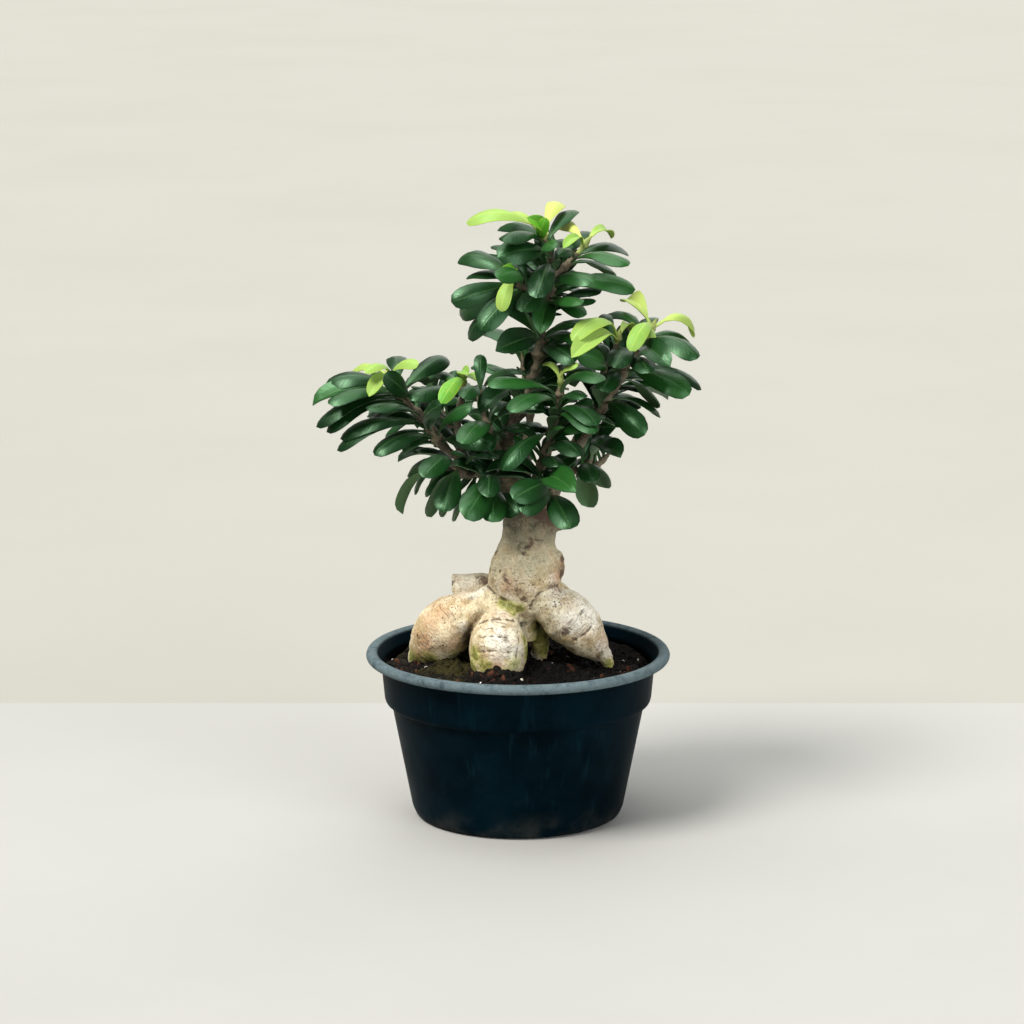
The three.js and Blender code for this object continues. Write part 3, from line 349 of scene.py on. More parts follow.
# Leafy stems. radii: at the twig's foot and tip; stub: its bare length; path: its points.
# leaves: place along the twig from 0 to 1, the tip's x and z seen from the front, -1 for a tip nearer
# than the root or 1 for one behind it, how far the blade faces the front, and its size.
STEMS = {
    "left_stem": {
        "radii": [2.1, 1.3],
        "path": [
            [-39, -8, 219], [-46, -9, 226], [-50, -9, 232], [-55, -9, 239], [-62, -8, 247], [-68, -7, 254],
            [-71, -6, 259],
        ],
        "leaves": [
            [0.87, -120, 246, 1, 0.3, 1], [0.84, -111, 247, -1, 0.15, 1], [0.96, -111, 265, 1, 0.35, 0.95],
            [0.84, -118, 233, 1, 0.25, 1], [0.76, -112, 230, -1, 0.25, 1], [0.48, -88, 243, -1, 0.1, 0.95],
            [0.78, -78, 264, -1, 0.8, 0.9], [0.94, -71, 274, 1, 0.7, 0.8], [0.89, -42, 274, 1, 0.5, 1],
            [0.88, -54, 258, 1, 0.2, 0.7], [0.32, -104, 226, 1, 0.35, 1], [0.37, -106, 219, 1, 0.2, 1],
            [0.21, -84, 216, -1, 0.2, 1], [0.18, -27, 245, -1, 0.45, 0.95], [0.29, -45, 246, -1, 0.7, 0.9],
            [0.51, -31, 247, 1, 0.1, 0.9], [0.12, -15, 223, -1, 0.6, 1],
        ],
    },
    "left_inner_stem": {
        "radii": [1.8, 1.3],
        "path": [[-35, 4, 241], [-33, 5, 248], [-32, 5, 255]],
        "leaves": [[0.62, -63, 249, -1, 0.3, 1], [0.91, -53, 259, 1, 0.3, 0.9]],
    },
    "fork_stem": {
        "radii": [1.8, 1.2],
        "path": [[-12, -11, 223], [-17, -18, 235], [-20, -20, 244], [-22, -19, 251], [-22, -18, 256]],
        "leaves": [
            [0.98, -22, 276, 1, 0.9, 0.55], [0.92, -32, 250, -1, 0.4, 0.8], [0.46, 10, 238, 1, 0.15, 1],
            [0.3, -33, 223, -1, 0.6, 1], [0.4, 16, 242, -1, 0.4, 0.95], [0.2, -46, 221, 1, 0.3, 1],
        ],
    },
    "leader_low_stem": {
        "radii": [3.3, 2.1], "stub": 8,
        "path": [[-8, -1, 212], [-6, -2, 228], [1, -3, 244], [7, -4, 258], [12, -3, 274], [13, -2, 287]],
        "leaves": [
            [0.64, -18, 258, 1, 0.3, 1], [0.49, -22, 241, -1, 0.3, 1], [0.97, -13, 278, -1, 0.75, 1.05],
            [0.98, 50, 292, 1, 0.2, 1], [0.96, 44, 280, -1, 0.2, 1], [0.87, 33, 271, -1, 0.5, 0.9],
            [0.84, -1, 277, 1, 0.5, 0.9],
        ],
    },
    "leader_top_stem": {
        "radii": [2.1, 1.3],
        "path": [[13, -2, 287], [16, -1, 300], [18, 0, 313], [19, 0, 326], [18, -1, 335], [16, -2, 342]],
        "leaves": [
            [0.96, -10, 349, 1, 0.4, 1], [0.93, -9, 342, -1, 0.05, 1], [0.88, -12, 333, -1, 0.75, 1.05],
            [0.97, 33, 360, 1, 0.15, 0.85], [0.75, 10, 309, -1, 0.8, 1.05], [0.46, 2, 301, -1, 0.6, 0.95],
            [0.81, 21, 338, -1, 0.8, 0.8], [0.48, 68, 314, -1, 0.5, 1.05], [0.41, 44, 318, -1, 0.4, 1],
            [0.37, 38, 298, -1, 0.5, 0.85], [0.2, 36, 305, -1, 0.3, 0.95], [0.34, 13, 288, -1, 0.8, 0.95],
        ],
    },
    "leader_left_stem": {
        "radii": [1.6, 1.2], "stub": 3.6,
        "path": [[17, 0, 309], [9, -8, 313], [3, -13, 317], [-1, -16, 321]],
        "leaves": [
            [0.88, -34, 332, 1, 0.45, 1], [0.92, -35, 319, -1, 0.9, 1], [0.71, -34, 299, 1, 0.75, 1],
            [0.47, -29, 285, 1, 0.4, 1.05], [0.59, -20, 291, -1, 0.55, 1], [0.81, -21, 312, -1, 0.7, 0.95],
        ],
    },
    "leader_right_stem": {
        "radii": [1.6, 1.2], "stub": 4.3,
        "path": [[19, 0, 321], [26, 2, 326], [31, 2, 331], [36, 1, 337]],
        "leaves": [
            [0.52, 63, 335, 1, 0.25, 1], [0.47, 64, 328, -1, 0.25, 1], [0.34, 55, 321, 1, 0.2, 0.95],
            [0.73, 22, 340, -1, 0.5, 0.7],
        ],
    },
    "leader_back_stem": {
        "radii": [1.6, 1.2], "stub": 4,
        "path": [[17, 0, 304], [15, 11, 310], [14, 20, 317], [14, 27, 324]],
    },
    "right_stem": {
        "radii": [2.4, 1.4],
        "path": [[38, 6, 224], [47, 6, 240], [55, 5, 254], [63, 4, 267], [70, 3, 279], [75, 2, 286]],
        "leaves": [
            [0.98, 52, 297, 1, 0.2, 1], [0.97, 100, 279, 1, 0.3, 0.95], [0.94, 102, 272, -1, 0.3, 1],
            [0.87, 87, 271, -1, 0.7, 1], [0.81, 88, 268, 1, 0.6, 1], [0.75, 76, 265, -1, 0.5, 0.95],
            [0.78, 48, 271, -1, 0.4, 0.95], [0.66, 100, 252, -1, 0.55, 1.1], [0.62, 107, 255, 1, 0.2, 1],
            [0.56, 81, 244, 1, 0.1, 0.9], [0.6, 49, 254, -1, 0.4, 0.9], [0.37, 82, 239, 1, 0.25, 1],
            [0.34, 74, 228, -1, 0.8, 1],
        ],
    },
    "right_inner_stem": {
        "radii": [1.6, 1.2], "stub": 6.4,
        "path": [[51, 5, 247], [46, -1, 256], [50, -6, 268], [55, -9, 278], [57, -10, 283]],
        "leaves": [
            [0.97, 55, 300, 1, 0.75, 0.75], [0.5, 35, 274, -1, 0.8, 0.95], [0.36, 33, 257, 1, 0.3, 0.9],
        ],
    },
    "centre_stem": {
        "radii": [2.2, 1.4],
        "path": [
            [9, -15, 203], [14, -20, 216], [18, -23, 228], [21, -25, 242], [23, -26, 251], [24, -27, 259],
        ],
        "leaves": [
            [0.98, 49, 260, -1, 0.25, 1], [0.97, 42, 267, 1, 0.4, 0.95], [0.95, -18, 258, -1, 0.2, 1],
            [0.86, -5, 242, -1, 0.3, 1], [0.76, 46, 234, -1, 0.25, 0.95], [0.7, 45, 229, -1, 0.3, 1],
            [0.54, -9, 207, -1, 0.3, 1],
        ],
    },
    "right_low_stem": {
        "radii": [1.9, 1.3], "stub": 6,
        "path": [[28, 5, 208], [36, -4, 208], [41, -9, 214], [43, -12, 220]],
        "leaves": [
            [0.67, 60, 215, -1, 0.25, 1], [0.81, 53, 225, 1, 0.4, 1], [0.45, 43, 200, -1, 0.5, 0.95],
            [0.4, 48, 197, 1, 0.1, 1], [0.35, 41, 185, 1, 0.2, 1],
        ],
    },
    "front_low_right_stem": {
        "radii": [2, 1.4], "stub": 6.2,
        "path": [[9, -10, 189], [15, -18, 191], [19, -25, 197], [19, -30, 206]],
        "leaves": [
            [0.92, 34, 194, -1, 0.8, 1.15], [0.58, 31, 172, -1, 0.8, 1.1], [0.92, -3, 190, -1, 0.8, 1.1],
            [0.62, 2, 182, -1, 0.7, 1],
        ],
    },
    "front_low_left_stem": {
        "radii": [2, 1.4], "stub": 8.5,
        "path": [[-6, -4, 190], [-9, -14, 191], [-13, -21, 197], [-16, -26, 204]],
        "leaves": [
            [0.89, -31, 178, -1, 0.8, 1.2], [0.64, -15, 176, -1, 0.7, 1.1], [0.94, -37, 177, 1, 0.3, 0.95],
            [0.47, 0, 181, -1, 0.8, 1], [0.98, -18, 191, -1, 0.6, 1],
        ],
    },
    "left_low_stem": {
        "radii": [1.9, 1.3], "stub": 5,
        "path": [[-25, -6, 209], [-29, -15, 208], [-35, -20, 212], [-42, -22, 217]],
        "leaves": [
            [0.59, -44, 182, -1, 0.55, 1], [0.87, -56, 203, -1, 0.7, 1], [0.97, -68, 181, 1, 0.05, 1.05],
            [0.97, -63, 204, 1, 0.2, 0.9], [0.41, -51, 179, 1, 0.1, 1],
        ],
    },
    "back_left_stem": {
        "radii": [2.2, 1.3],
        "path": [[-30, 38, 219], [-39, 45, 226], [-48, 50, 233], [-56, 53, 239]],
    },
    "back_left_low_stem": {
        "radii": [2, 1.3], "stub": 5.6,
        "path": [[-17, 24, 203], [-27, 24, 200], [-38, 30, 201], [-47, 36, 204]],
    },
    "back_middle_stem": {
        "radii": [2.2, 1.3],
        "path": [[7, 44, 227], [7, 49, 240], [5, 51, 253], [3, 51, 264]],
    },
    "back_middle_low_stem": {
        "radii": [2, 1.3], "stub": 5.6,
        "path": [[4, 32, 206], [-6, 38, 203], [-12, 48, 205], [-14, 56, 209]],
    },
    "back_right_stem": {
        "radii": [2.2, 1.3],
        "path": [[38, 40, 223], [47, 45, 233], [55, 48, 244], [62, 49, 254]],
    },
    "back_right_low_stem": {
        "radii": [2, 1.3], "stub": 5.4,
        "path": [[26, 26, 204], [37, 25, 202], [47, 32, 204], [53, 40, 208]],
    },
}

# Young shoots, with a tone from green to yellow for each leaf
SHOOTS = {
    "top_shoot": {
        "path": [[16, -2, 342], [14, -2, 347]],
        "tones": [0.45, 0.6, 0.1, 0, 0.85],
        "leaves": [
            [0.9, -30, 353, 1, 0.35, 1], [0.8, -9, 356, 1, 0.3, 0.6], [0.7, 5, 356, -1, 0.7, 0.55],
            [0.6, 16, 356, -1, 0.7, 0.55], [0.8, 24, 364, 1, 0.5, 0.8],
        ],
    },
    "top_right_shoot": {
        "path": [[36, 1, 337], [39, 1, 341]],
        "tones": [0.85, 0.5, 0.3],
        "leaves": [[0.9, 24, 350, 1, 0.5, 0.75], [0.8, 54, 344, 1, 0.3, 0.6], [0.6, 26, 338, -1, 0.4, 0.5]],
    },
    "leader_left_shoot": {
        "path": [[-1, -16, 321], [-3, -18, 325]],
        "tones": [0.15, 0.55],
        "leaves": [[0.8, -12, 321, -1, 0.7, 0.5], [0.6, -10, 301, -1, 0.4, 0.7]],
    },
    "right_shoot": {
        "path": [[75, 2, 286], [78, 1, 292]],
        "tones": [0.7, 0.65, 0.35, 0.4],
        "leaves": [
            [0.9, 62, 307, 1, 0.4, 0.85], [0.85, 101, 287, 1, 0.5, 0.95], [0.6, 65, 278, -1, 0.6, 0.8],
            [0.7, 78, 280, -1, 0.6, 0.4],
        ],
    },
    "right_inner_shoot": {
        "path": [[57, -10, 283], [58, -11, 288]],
        "tones": [0.5, 0.4, 0.5],
        "leaves": [[0.7, 31, 274, -1, 0.5, 0.95], [0.9, 31, 284, -1, 0.3, 0.9], [0.8, 66, 289, 1, 0.3, 0.5]],
    },
    "centre_shoot": {
        "path": [[24, -27, 259], [24.5, -28.3, 266]],
        "tones": [0.5, 0.5],
        "leaves": [[0.9, 35, 270, -1, 0.3, 0.45], [0.8, 15, 270, 1, 0.2, 0.5]],
    },
    "left_shoot": {
        "path": [[-71, -6, 259], [-74, -5, 263]],
        "tones": [0.45, 0.4, 0.5, 0.6],
        "leaves": [
            [0.9, -58, 270, -1, 0.4, 0.65], [0.8, -89, 265, -1, 0.3, 0.65], [0.6, -87, 251, -1, 0.4, 0.65],
            [0.85, -99, 260, 1, 0.3, 0.75],
        ],
    },
    "left_inner_shoot": {
        "path": [[-32, 5, 255], [-32, 4, 260]],
        "tones": [0.15, 0.3, 0.4],
        "leaves": [
            [0.6, -45, 247, -1, 0.6, 0.75], [0.9, -29, 264, -1, 0.7, 0.5], [0.8, -23, 260, -1, 0.3, 0.5],
        ],
    },
}

# The crown's outline: x and z seen from the front
CROWN_OUTLINE = [
    [-31, 352], [-29, 358], [-11, 361], [13, 365], [35, 361], [37, 353], [54, 347], [66, 336], [65, 326],
    [68, 317], [55, 299], [42, 298], [34, 290], [48, 301], [64, 310], [83, 306], [101, 297], [103, 271],
    [84, 268], [106, 257], [102, 249], [80, 247], [78, 233], [69, 226], [55, 231], [61, 218], [43, 216],
    [46, 201], [41, 187], [34, 178], [-11, 175], [-46, 178], [-52, 184], [-62, 193], [-66, 180],
    [-72, 184], [-58, 206], [-83, 214], [-108, 219], [-121, 235], [-123, 249], [-111, 272], [-69, 276],
    [-42, 275], [-34, 265], [-24, 276], [-13, 268], [3, 272], [-14, 282], [-36, 296], [-38, 330],
    [-19, 339], [-12, 349],
]

# The rule for the leaves, as the solids were grown. first, last and start: where they lie along a twig;
# spacing and clearance in millimetres; size: the least and its spread.
FILL = {"first": 0.15, "last": 0.98, "start": 0.6, "spacing": 3.8, "size": (0.8, 0.25), "clearance": 2.4}
INNER = {"first": 0.02, "last": 0.92, "start": 0.3, "spacing": 2.2, "size": (0.46, 0.3), "clearance": 1.7}
FILL_FACING = 0.3
FILL_START_TURN = 0.9
GOLDEN_TURN = math.radians(137.508)
FILL_SWINGS = (0, 0.5, -0.5, 1, -1, 1.6, -1.6, 2.3, -2.3, 3)
FILL_PITCHES = (0.55, 0.25, 0.9)
COVER_REACH = 4.5
COVER_DEPTH = 2
CHORD_FACTORS = (1, 0.93, 1.07, 0.86, 1.14)
SIZE_STRIDE = 0.618034
FACING_STRIDE = 0.754878
STEEP = 0.8
BLADE_START = 0.16
LAST_SECTION = 0.97
SAMPLE_SHARES = np.array([0.3, 0.4, 0.5, 0.6, 0.7, 0.8, 0.9, 1])
SAMPLE_OFFSETS = np.array([-0.8, -0.4, 0, 0.4, 0.8])
BEND_STEP = 0.07
BEND_RINGS = 6
BEND_TURNS = 8
CORNER_REACH = 0.03

# Distance in metres under which points are welded
WELD = 1e-6

UP = np.array([0.0, 0.0, 1.0])
SIDEWAYS = np.array([1.0, 0.0, 0.0])


def unit(v):
    """The vector at length 1."""
    return v / math.sqrt(v @ v)


def scatter(index, stride):
    """A share from 0 to 1 that is even and unlike its neighbours'."""
    return (index * stride) % 1


def turned_about(v, axis, angle):
    """The vector turned about an axis."""
    cos, sin = math.cos(angle), math.sin(angle)
    return v * cos + np.cross(axis, v) * sin + axis * (axis @ v) * (1 - cos)


class Blade:
    """One leaf: its root, the way it points and lies, its size and, where it is set, its tone."""

    tone = None

    def __init__(self, root, tip, facing, size):
        chord = tip - root
        self.length = math.sqrt(chord @ chord)
        self.along = chord / self.length
        normal = UP * (1 - facing) + unit(EYE - tip) * facing
        self.normal = unit(normal - self.along * (normal @ self.along))
        self.side = np.cross(self.along, self.normal)
        self.root, self.facing, self.size = root, facing, size
        self.samples = self.points(SAMPLE_SHARES, SAMPLE_OFFSETS)
        self.middle = self.points(np.array([0.6]), np.array([0.0]))[0]

    def points(self, shares, offsets):
        """Points of the middle surface, for shares of the length and offsets from -1 to 1 across."""
        share, across = shares[:, None, None], offsets[None, :, None]
        blade = np.maximum(share - BLADE_START, 0) / (1 - BLADE_START)
        outline = np.maximum(np.sin(np.pi * blade**LEAF_FRONT), 0) ** LEAF_ROUNDNESS
        width = PETIOLE_RADIUS + (LEAF_HALF_WIDTH * self.size - PETIOLE_RADIUS) * outline
        fold = np.where(share > BLADE_START, LEAF_FOLD * np.abs(across) * width, 0)
        rise = LEAF_ARCH * self.length * 4 * share * (1 - share) + fold
        spine = self.root + self.along * (self.length * share)
        return (spine + self.normal * rise + self.side * (across * width)).reshape(-1, 3)

    def tip_corners(self):
        """The three corners at the tip of the leaf's solid."""
        left, keel, right = self.points(np.array([LAST_SECTION]), np.array([-1.0, 0.0, 1.0]))
        return left, right, keel - self.normal * (LEAF_THICKNESS / 2)

    def bent(self, swing, pitch):
        """The leaf swung sideways and pitched up about its root."""
        chord = turned_about(self.along * self.length, self.normal, swing)
        tip = self.root + turned_about(chord, self.side, pitch)
        return Blade(self.root, tip, self.facing, self.size)


class Crowd:
    """The leaves placed so far, and how near a new one comes to them."""

    def __init__(self):
        self.samples, self.middles, self.lengths = [], [], []

    def add(self, leaf):
        self.samples.append(leaf.samples)
        self.middles.append(leaf.middle)
        self.lengths.append(leaf.length)

    def clearance(self, leaf):
        """The least distance from the leaf's sample points to those already placed."""
        if not self.samples:
            return math.inf
        apart = np.linalg.norm(np.array(self.middles) - leaf.middle, axis=1)
        near = np.flatnonzero(apart <= leaf.length + np.array(self.lengths))
        if not len(near):
            return math.inf
        others = np.concatenate([self.samples[i] for i in near])
        square = (leaf.samples**2).sum(1)[:, None] + (others**2).sum(1)[None] - 2 * leaf.samples @ others.T
        return math.sqrt(max(square.min(), 0))


def front_places(points):
    """Where points show from the front, on the plane y = 0."""
    part = EYE[1] / (EYE[1] - points[:, 1])
    return EYE[[0, 2]] + (points[:, [0, 2]] - EYE[[0, 2]]) * part[:, None]


def tip_on_sight_line(root, x, z, side, chord):
    """Where a leaf's tip lies, a chord from its root and seen at x and z from the front."""
    sight = unit(np.array([x, 0.0, z]) - EYE)
    to_root = root - EYE
    nearest = to_root @ sight
    depth = math.sqrt(max(chord * chord - (to_root @ to_root - nearest * nearest), 0))
    return EYE + sight * (nearest + side * depth)


def twig_of(stem):
    """Points of a stem's twig from its parent's stub, and the length up to each of them."""
    path = [np.array(point, float) for point in stem["path"]]
    start = path[0] + unit(path[1] - path[0]) * (stem["stub"] + SEAT_GAP)
    bare = np.linalg.norm(start - path[0])
    points = [start] + [p for p in path if np.linalg.norm(p - path[0]) > bare + LEAST_PIECE]
    pieces = [np.linalg.norm(b - a) for a, b in zip(points, points[1:])]
    return np.array(points), np.concatenate([[0], np.cumsum(pieces)])


def point_on_twig(twig, share):
    """The place at a share of the twig's length, and the way that the twig runs there."""
    points, lengths = twig
    wanted = share * lengths[-1]
    i = 1
    while i < len(lengths) - 1 and lengths[i] < wanted:
        i += 1
    part = (wanted - lengths[i - 1]) / (lengths[i] - lengths[i - 1])
    return points[i - 1] + (points[i] - points[i - 1]) * part, unit(points[i] - points[i - 1])


def read_leaves(stem, crowd):
    """The stem's leaves as read from the photograph, each at the length that leaves most room."""
    made = []
    for i, (share, x, z, side, facing, size) in enumerate(stem["leaves"]):
        root = point_on_twig(stem["twig"], share)[0]
        best, most = None, -1
        for factor in CHORD_FACTORS:
            tip = tip_on_sight_line(root, x, z, side, LEAF_LENGTH * size * factor)
            leaf = Blade(root, tip, facing, size)
            room = crowd.clearance(leaf)
            if room > most:
                best, most = leaf, room
            if room > FILL["clearance"]:
                break
        if "tones" in stem:
            best.tone = stem["tones"][i]
        made.append(best)
        crowd.add(best)
    return made


def in_crown(places):
    """True for places inside the crown's outline."""
    inside = np.zeros(len(places), bool)
    for (x, z), (next_x, next_z) in zip(CROWN_OUTLINE, CROWN_OUTLINE[1:] + CROWN_OUTLINE[:1]):
        spans = (z > places[:, 1]) != (next_z > places[:, 1])
        if next_z != z:
            crossing = x + (next_x - x) * (places[:, 1] - z) / (next_z - z)
            inside ^= spans & (places[:, 0] < crossing)
    return inside


def stays_behind(leaf, shown_places, shown_depths):
    """True for a leaf in the crown's outline and behind the leaves read from the front."""
    places = front_places(leaf.samples)
    if not in_crown(places).all():
        return False
    near = ((places[:, None] - shown_places[None]) ** 2).sum(2) < COVER_REACH**2
    covers = leaf.samples[:, 1][:, None] < shown_depths[None] - COVER_DEPTH
    return not (near & covers).any()


def fill_leaves(stem, stem_index, rule, crowd, shown_places, shown_depths):
    """Leaves in a golden-angle spiral along a twig, each turned or lifted until it fits."""
    count = round_half_up(stem["twig"][1][-1] * (1 - rule["first"]) / rule["spacing"])
    made = []
    for i in range(count):
        share = rule["first"] + (rule["last"] - rule["first"]) * (i + rule["start"]) / count
        point, along = point_on_twig(stem["twig"], share)
        level = UP if abs(along[2]) < STEEP else SIDEWAYS
        across = unit(np.cross(along, level))
        outward = np.cross(along, across)
        size = rule["size"][0] + rule["size"][1] * scatter(i + stem_index * 3 + 1, SIZE_STRIDE)
        facing = FILL_FACING * scatter(i + stem_index + 1, FACING_STRIDE)
        turn = i * GOLDEN_TURN + stem_index * FILL_START_TURN
        for pitch, swing in ((p, s) for p in FILL_PITCHES for s in FILL_SWINGS):
            flat = across * math.cos(turn + swing) + outward * math.sin(turn + swing)
            direction = flat * math.cos(pitch) + along * math.sin(pitch)
            leaf = Blade(point, point + direction * (LEAF_LENGTH * size), facing, size)
            if not stays_behind(leaf, shown_places, shown_depths):
                continue
            if crowd.clearance(leaf) > rule["clearance"]:
                made.append(leaf)
                crowd.add(leaf)
                break
    return made


def round_half_up(value):
    """The nearest whole number, with halves rounded up."""
    return math.floor(value + 0.5)


def search_tree(points):
    """The points, to be searched for the nearest."""
    tree = kdtree.KDTree(len(points))
    for i, point in enumerate(points):
        tree.insert(point, i)
    tree.balance()
    return tree


def settled(leaf, corners):
    """The leaf bent as its solid is, or None where the solids leave it out."""
    for ring in range(BEND_RINGS + 1):
        for turn in range(BEND_TURNS if ring else 1):
            angle = turn / BEND_TURNS * 2 * math.pi
            bend = ring * BEND_STEP
            tried = leaf.bent(bend * math.cos(angle), bend * math.sin(angle))
            misses = sorted(corners.find(corner)[2] for corner in tried.tip_corners())
            if misses[1] < CORNER_REACH:
                tried.tone = leaf.tone
                return tried
    return None


def corners_of(node):
    """The corners of a node's solid, in millimetres, to be searched."""
    return search_tree([vertex.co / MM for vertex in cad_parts[node].data.vertices])


@functools.cache
def plant():
    """Every stem with its twig and its leaves, worked out once."""
    stems = [
        dict(name=name, young=False, stub=STUB_LENGTH, leaves=[]) | stem for name, stem in STEMS.items()
    ]
    for name, shoot in SHOOTS.items():
        stems.append(dict(name=name, young=True, stub=SHOOT_STUB_LENGTH, radii=SHOOT_RADII) | shoot)
    crowd = Crowd()
    for stem in stems:
        stem["twig"] = twig_of(stem)
        stem["blades"] = read_leaves(stem, crowd)
    shown = np.concatenate(crowd.samples)
    places, depths = front_places(shown), shown[:, 1]
    grown = [stem for stem in stems if not stem["young"]]
    for index, stem in enumerate(grown):
        stem["blades"] = stem["blades"] + fill_leaves(stem, index, FILL, crowd, places, depths)
    crowd = Crowd()
    for stem in stems:
        corners = corners_of(stem["name"])
        found = [settled(leaf, corners) for leaf in stem["blades"]]
        stem["blades"] = [leaf for leaf in found if leaf]
        for leaf in stem["blades"]:
            crowd.add(leaf)
    for index, stem in enumerate(grown):
        stem["blades"] = stem["blades"] + fill_leaves(stem, index, INNER, crowd, places, depths)
    return stems


# Node trees, written as sums of sockets
class Field:
    """A socket whose arithmetic adds Math nodes to its tree."""

    def __init__(self, nodes, socket):
        self.nodes, self.socket = nodes, socket

    def math(self, operation, *others):
        return self.nodes.math(operation, self, *others)

    def __add__(self, other):
        return self.math("ADD", other)

    def __sub__(self, other):
        return self.math("SUBTRACT", other)

    def __rsub__(self, other):
        return self.nodes.math("SUBTRACT", other, self)

    def __mul__(self, other):
        return self.math("MULTIPLY", other)

    def __truediv__(self, other):
        return self.math("DIVIDE", other)

    def __pow__(self, other):
        return self.math("POWER", other)

    __radd__ = __add__
    __rmul__ = __mul__


class Nodes:
    """Adds nodes to one tree. A node's settings are set before its sockets' values or links."""

    def __init__(self, tree):
        self.tree = tree

    def add(self, kind, settings=None, inputs=None):
        """Adds a node and returns what gives its outputs, by name or number."""
        node = self.tree.nodes.new(kind)
        for name, value in (settings or {}).items():
            setattr(node, name, value)
        for key, value in (inputs or {}).items():
            if isinstance(value, Field):
                self.tree.links.new(value.socket, node.inputs[key])
            else:
                node.inputs[key].default_value = value
        return lambda key=0: Field(self, node.outputs[key])

    def math(self, operation, *values):
        return self.add("ShaderNodeMath", {"operation": operation}, dict(enumerate(values)))()

    def vector_math(self, operation, *values):
        return self.add("ShaderNodeVectorMath", {"operation": operation}, dict(enumerate(values)))()

    def scaled(self, vector, factor):
        inputs = {"Vector": vector, "Scale": factor}
        return self.add("ShaderNodeVectorMath", {"operation": "SCALE"}, inputs)()

    def step(self, value, low, high):
        """0 below low, 1 above high and smooth between them; low may be the greater."""
        if isinstance(low, (int, float)) and isinstance(high, (int, float)) and low > high:
            return 1 - self.step(value, high, low)
        inputs = {"Value": value, "From Min": low, "From Max": high}
        return self.add("ShaderNodeMapRange", {"interpolation_type": "SMOOTHSTEP"}, inputs)()

    def mix(self, factor, a, b):
        """Colour a where the factor is 0 and colour b where it is 1."""
        return self.add("ShaderNodeMix", {"data_type": "RGBA"}, {0: factor, 6: a, 7: b})(2)


class Finish(Nodes):
    """One procedural material, its colour, roughness and relief set by the fields it is given."""

    def __init__(self, name):
        self.material = bpy.data.materials.new(name)
        self.material.use_nodes = True
        super().__init__(self.material.node_tree)
        self.shader = self.tree.nodes["Principled BSDF"]
        self.place = self.add("ShaderNodeTexCoord")("Object")

    def attribute(self, name):
        """A number that the mesh carries under that name."""
        return self.add("ShaderNodeAttribute", {"attribute_name": name})("Fac")

    def noise(self, scale, detail=3, roughness=0.55, at=None, distortion=0):
        """Cloudy noise from 0 to 1."""
        inputs = {"Vector": at or self.place, "Scale": scale, "Detail": detail}
        inputs |= {"Roughness": roughness, "Distortion": distortion}
        return self.add("ShaderNodeTexNoise", None, inputs)()

    def cells(self, scale):
        """The distance from the middle of each cell."""
        return self.add("ShaderNodeTexVoronoi", None, {"Vector": self.place, "Scale": scale})("Distance")

    def stretched(self, x, y, z):
        """The place, scaled along each axis."""
        return self.add("ShaderNodeMapping", None, {"Vector": self.place, "Scale": (x, y, z)})()

    def axis(self, name):
        """One part of the place, X, Y or Z, in metres."""
        return self.add("ShaderNodeSeparateXYZ", None, {"Vector": self.place})(name)

    def joined(self, x, y, z):
        """A vector of three numbers."""
        return self.add("ShaderNodeCombineXYZ", None, {"X": x, "Y": y, "Z": z})()

    def mottled(self, shade, tone, share, low, high, scale, detail, roughness=0.55, distortion=0):
        """The shade, with a share of the tone where noise rises from low to high."""
        patches = self.step(self.noise(scale, detail, roughness, distortion=distortion), low, high)
        return self.mix(patches * share, shade, tone)

    def set(self, **values):
        """Puts each value or field on the shader's socket of that name."""
        for name, value in values.items():
            socket = self.shader.inputs[name.replace("_", " ")]
            if isinstance(value, Field):
                self.tree.links.new(value.socket, socket)
            else:
                socket.default_value = value
        return self.material

    def relief(self, height, depth, strength=1.0):
        """Bump of that depth in metres over a height field from 0 to 1."""
        inputs = {"Height": height, "Distance": depth, "Strength": strength}
        return self.add("ShaderNodeBump", None, inputs)("Normal")


def colour(red, green, blue):
    """A linear colour from sRGB numbers of 0 to 255."""
    shares = [value / 255 for value in (red, green, blue)]
    return (*[v / 12.92 if v <= 0.04045 else ((v + 0.055) / 1.055) ** 2.4 for v in shares], 1.0)


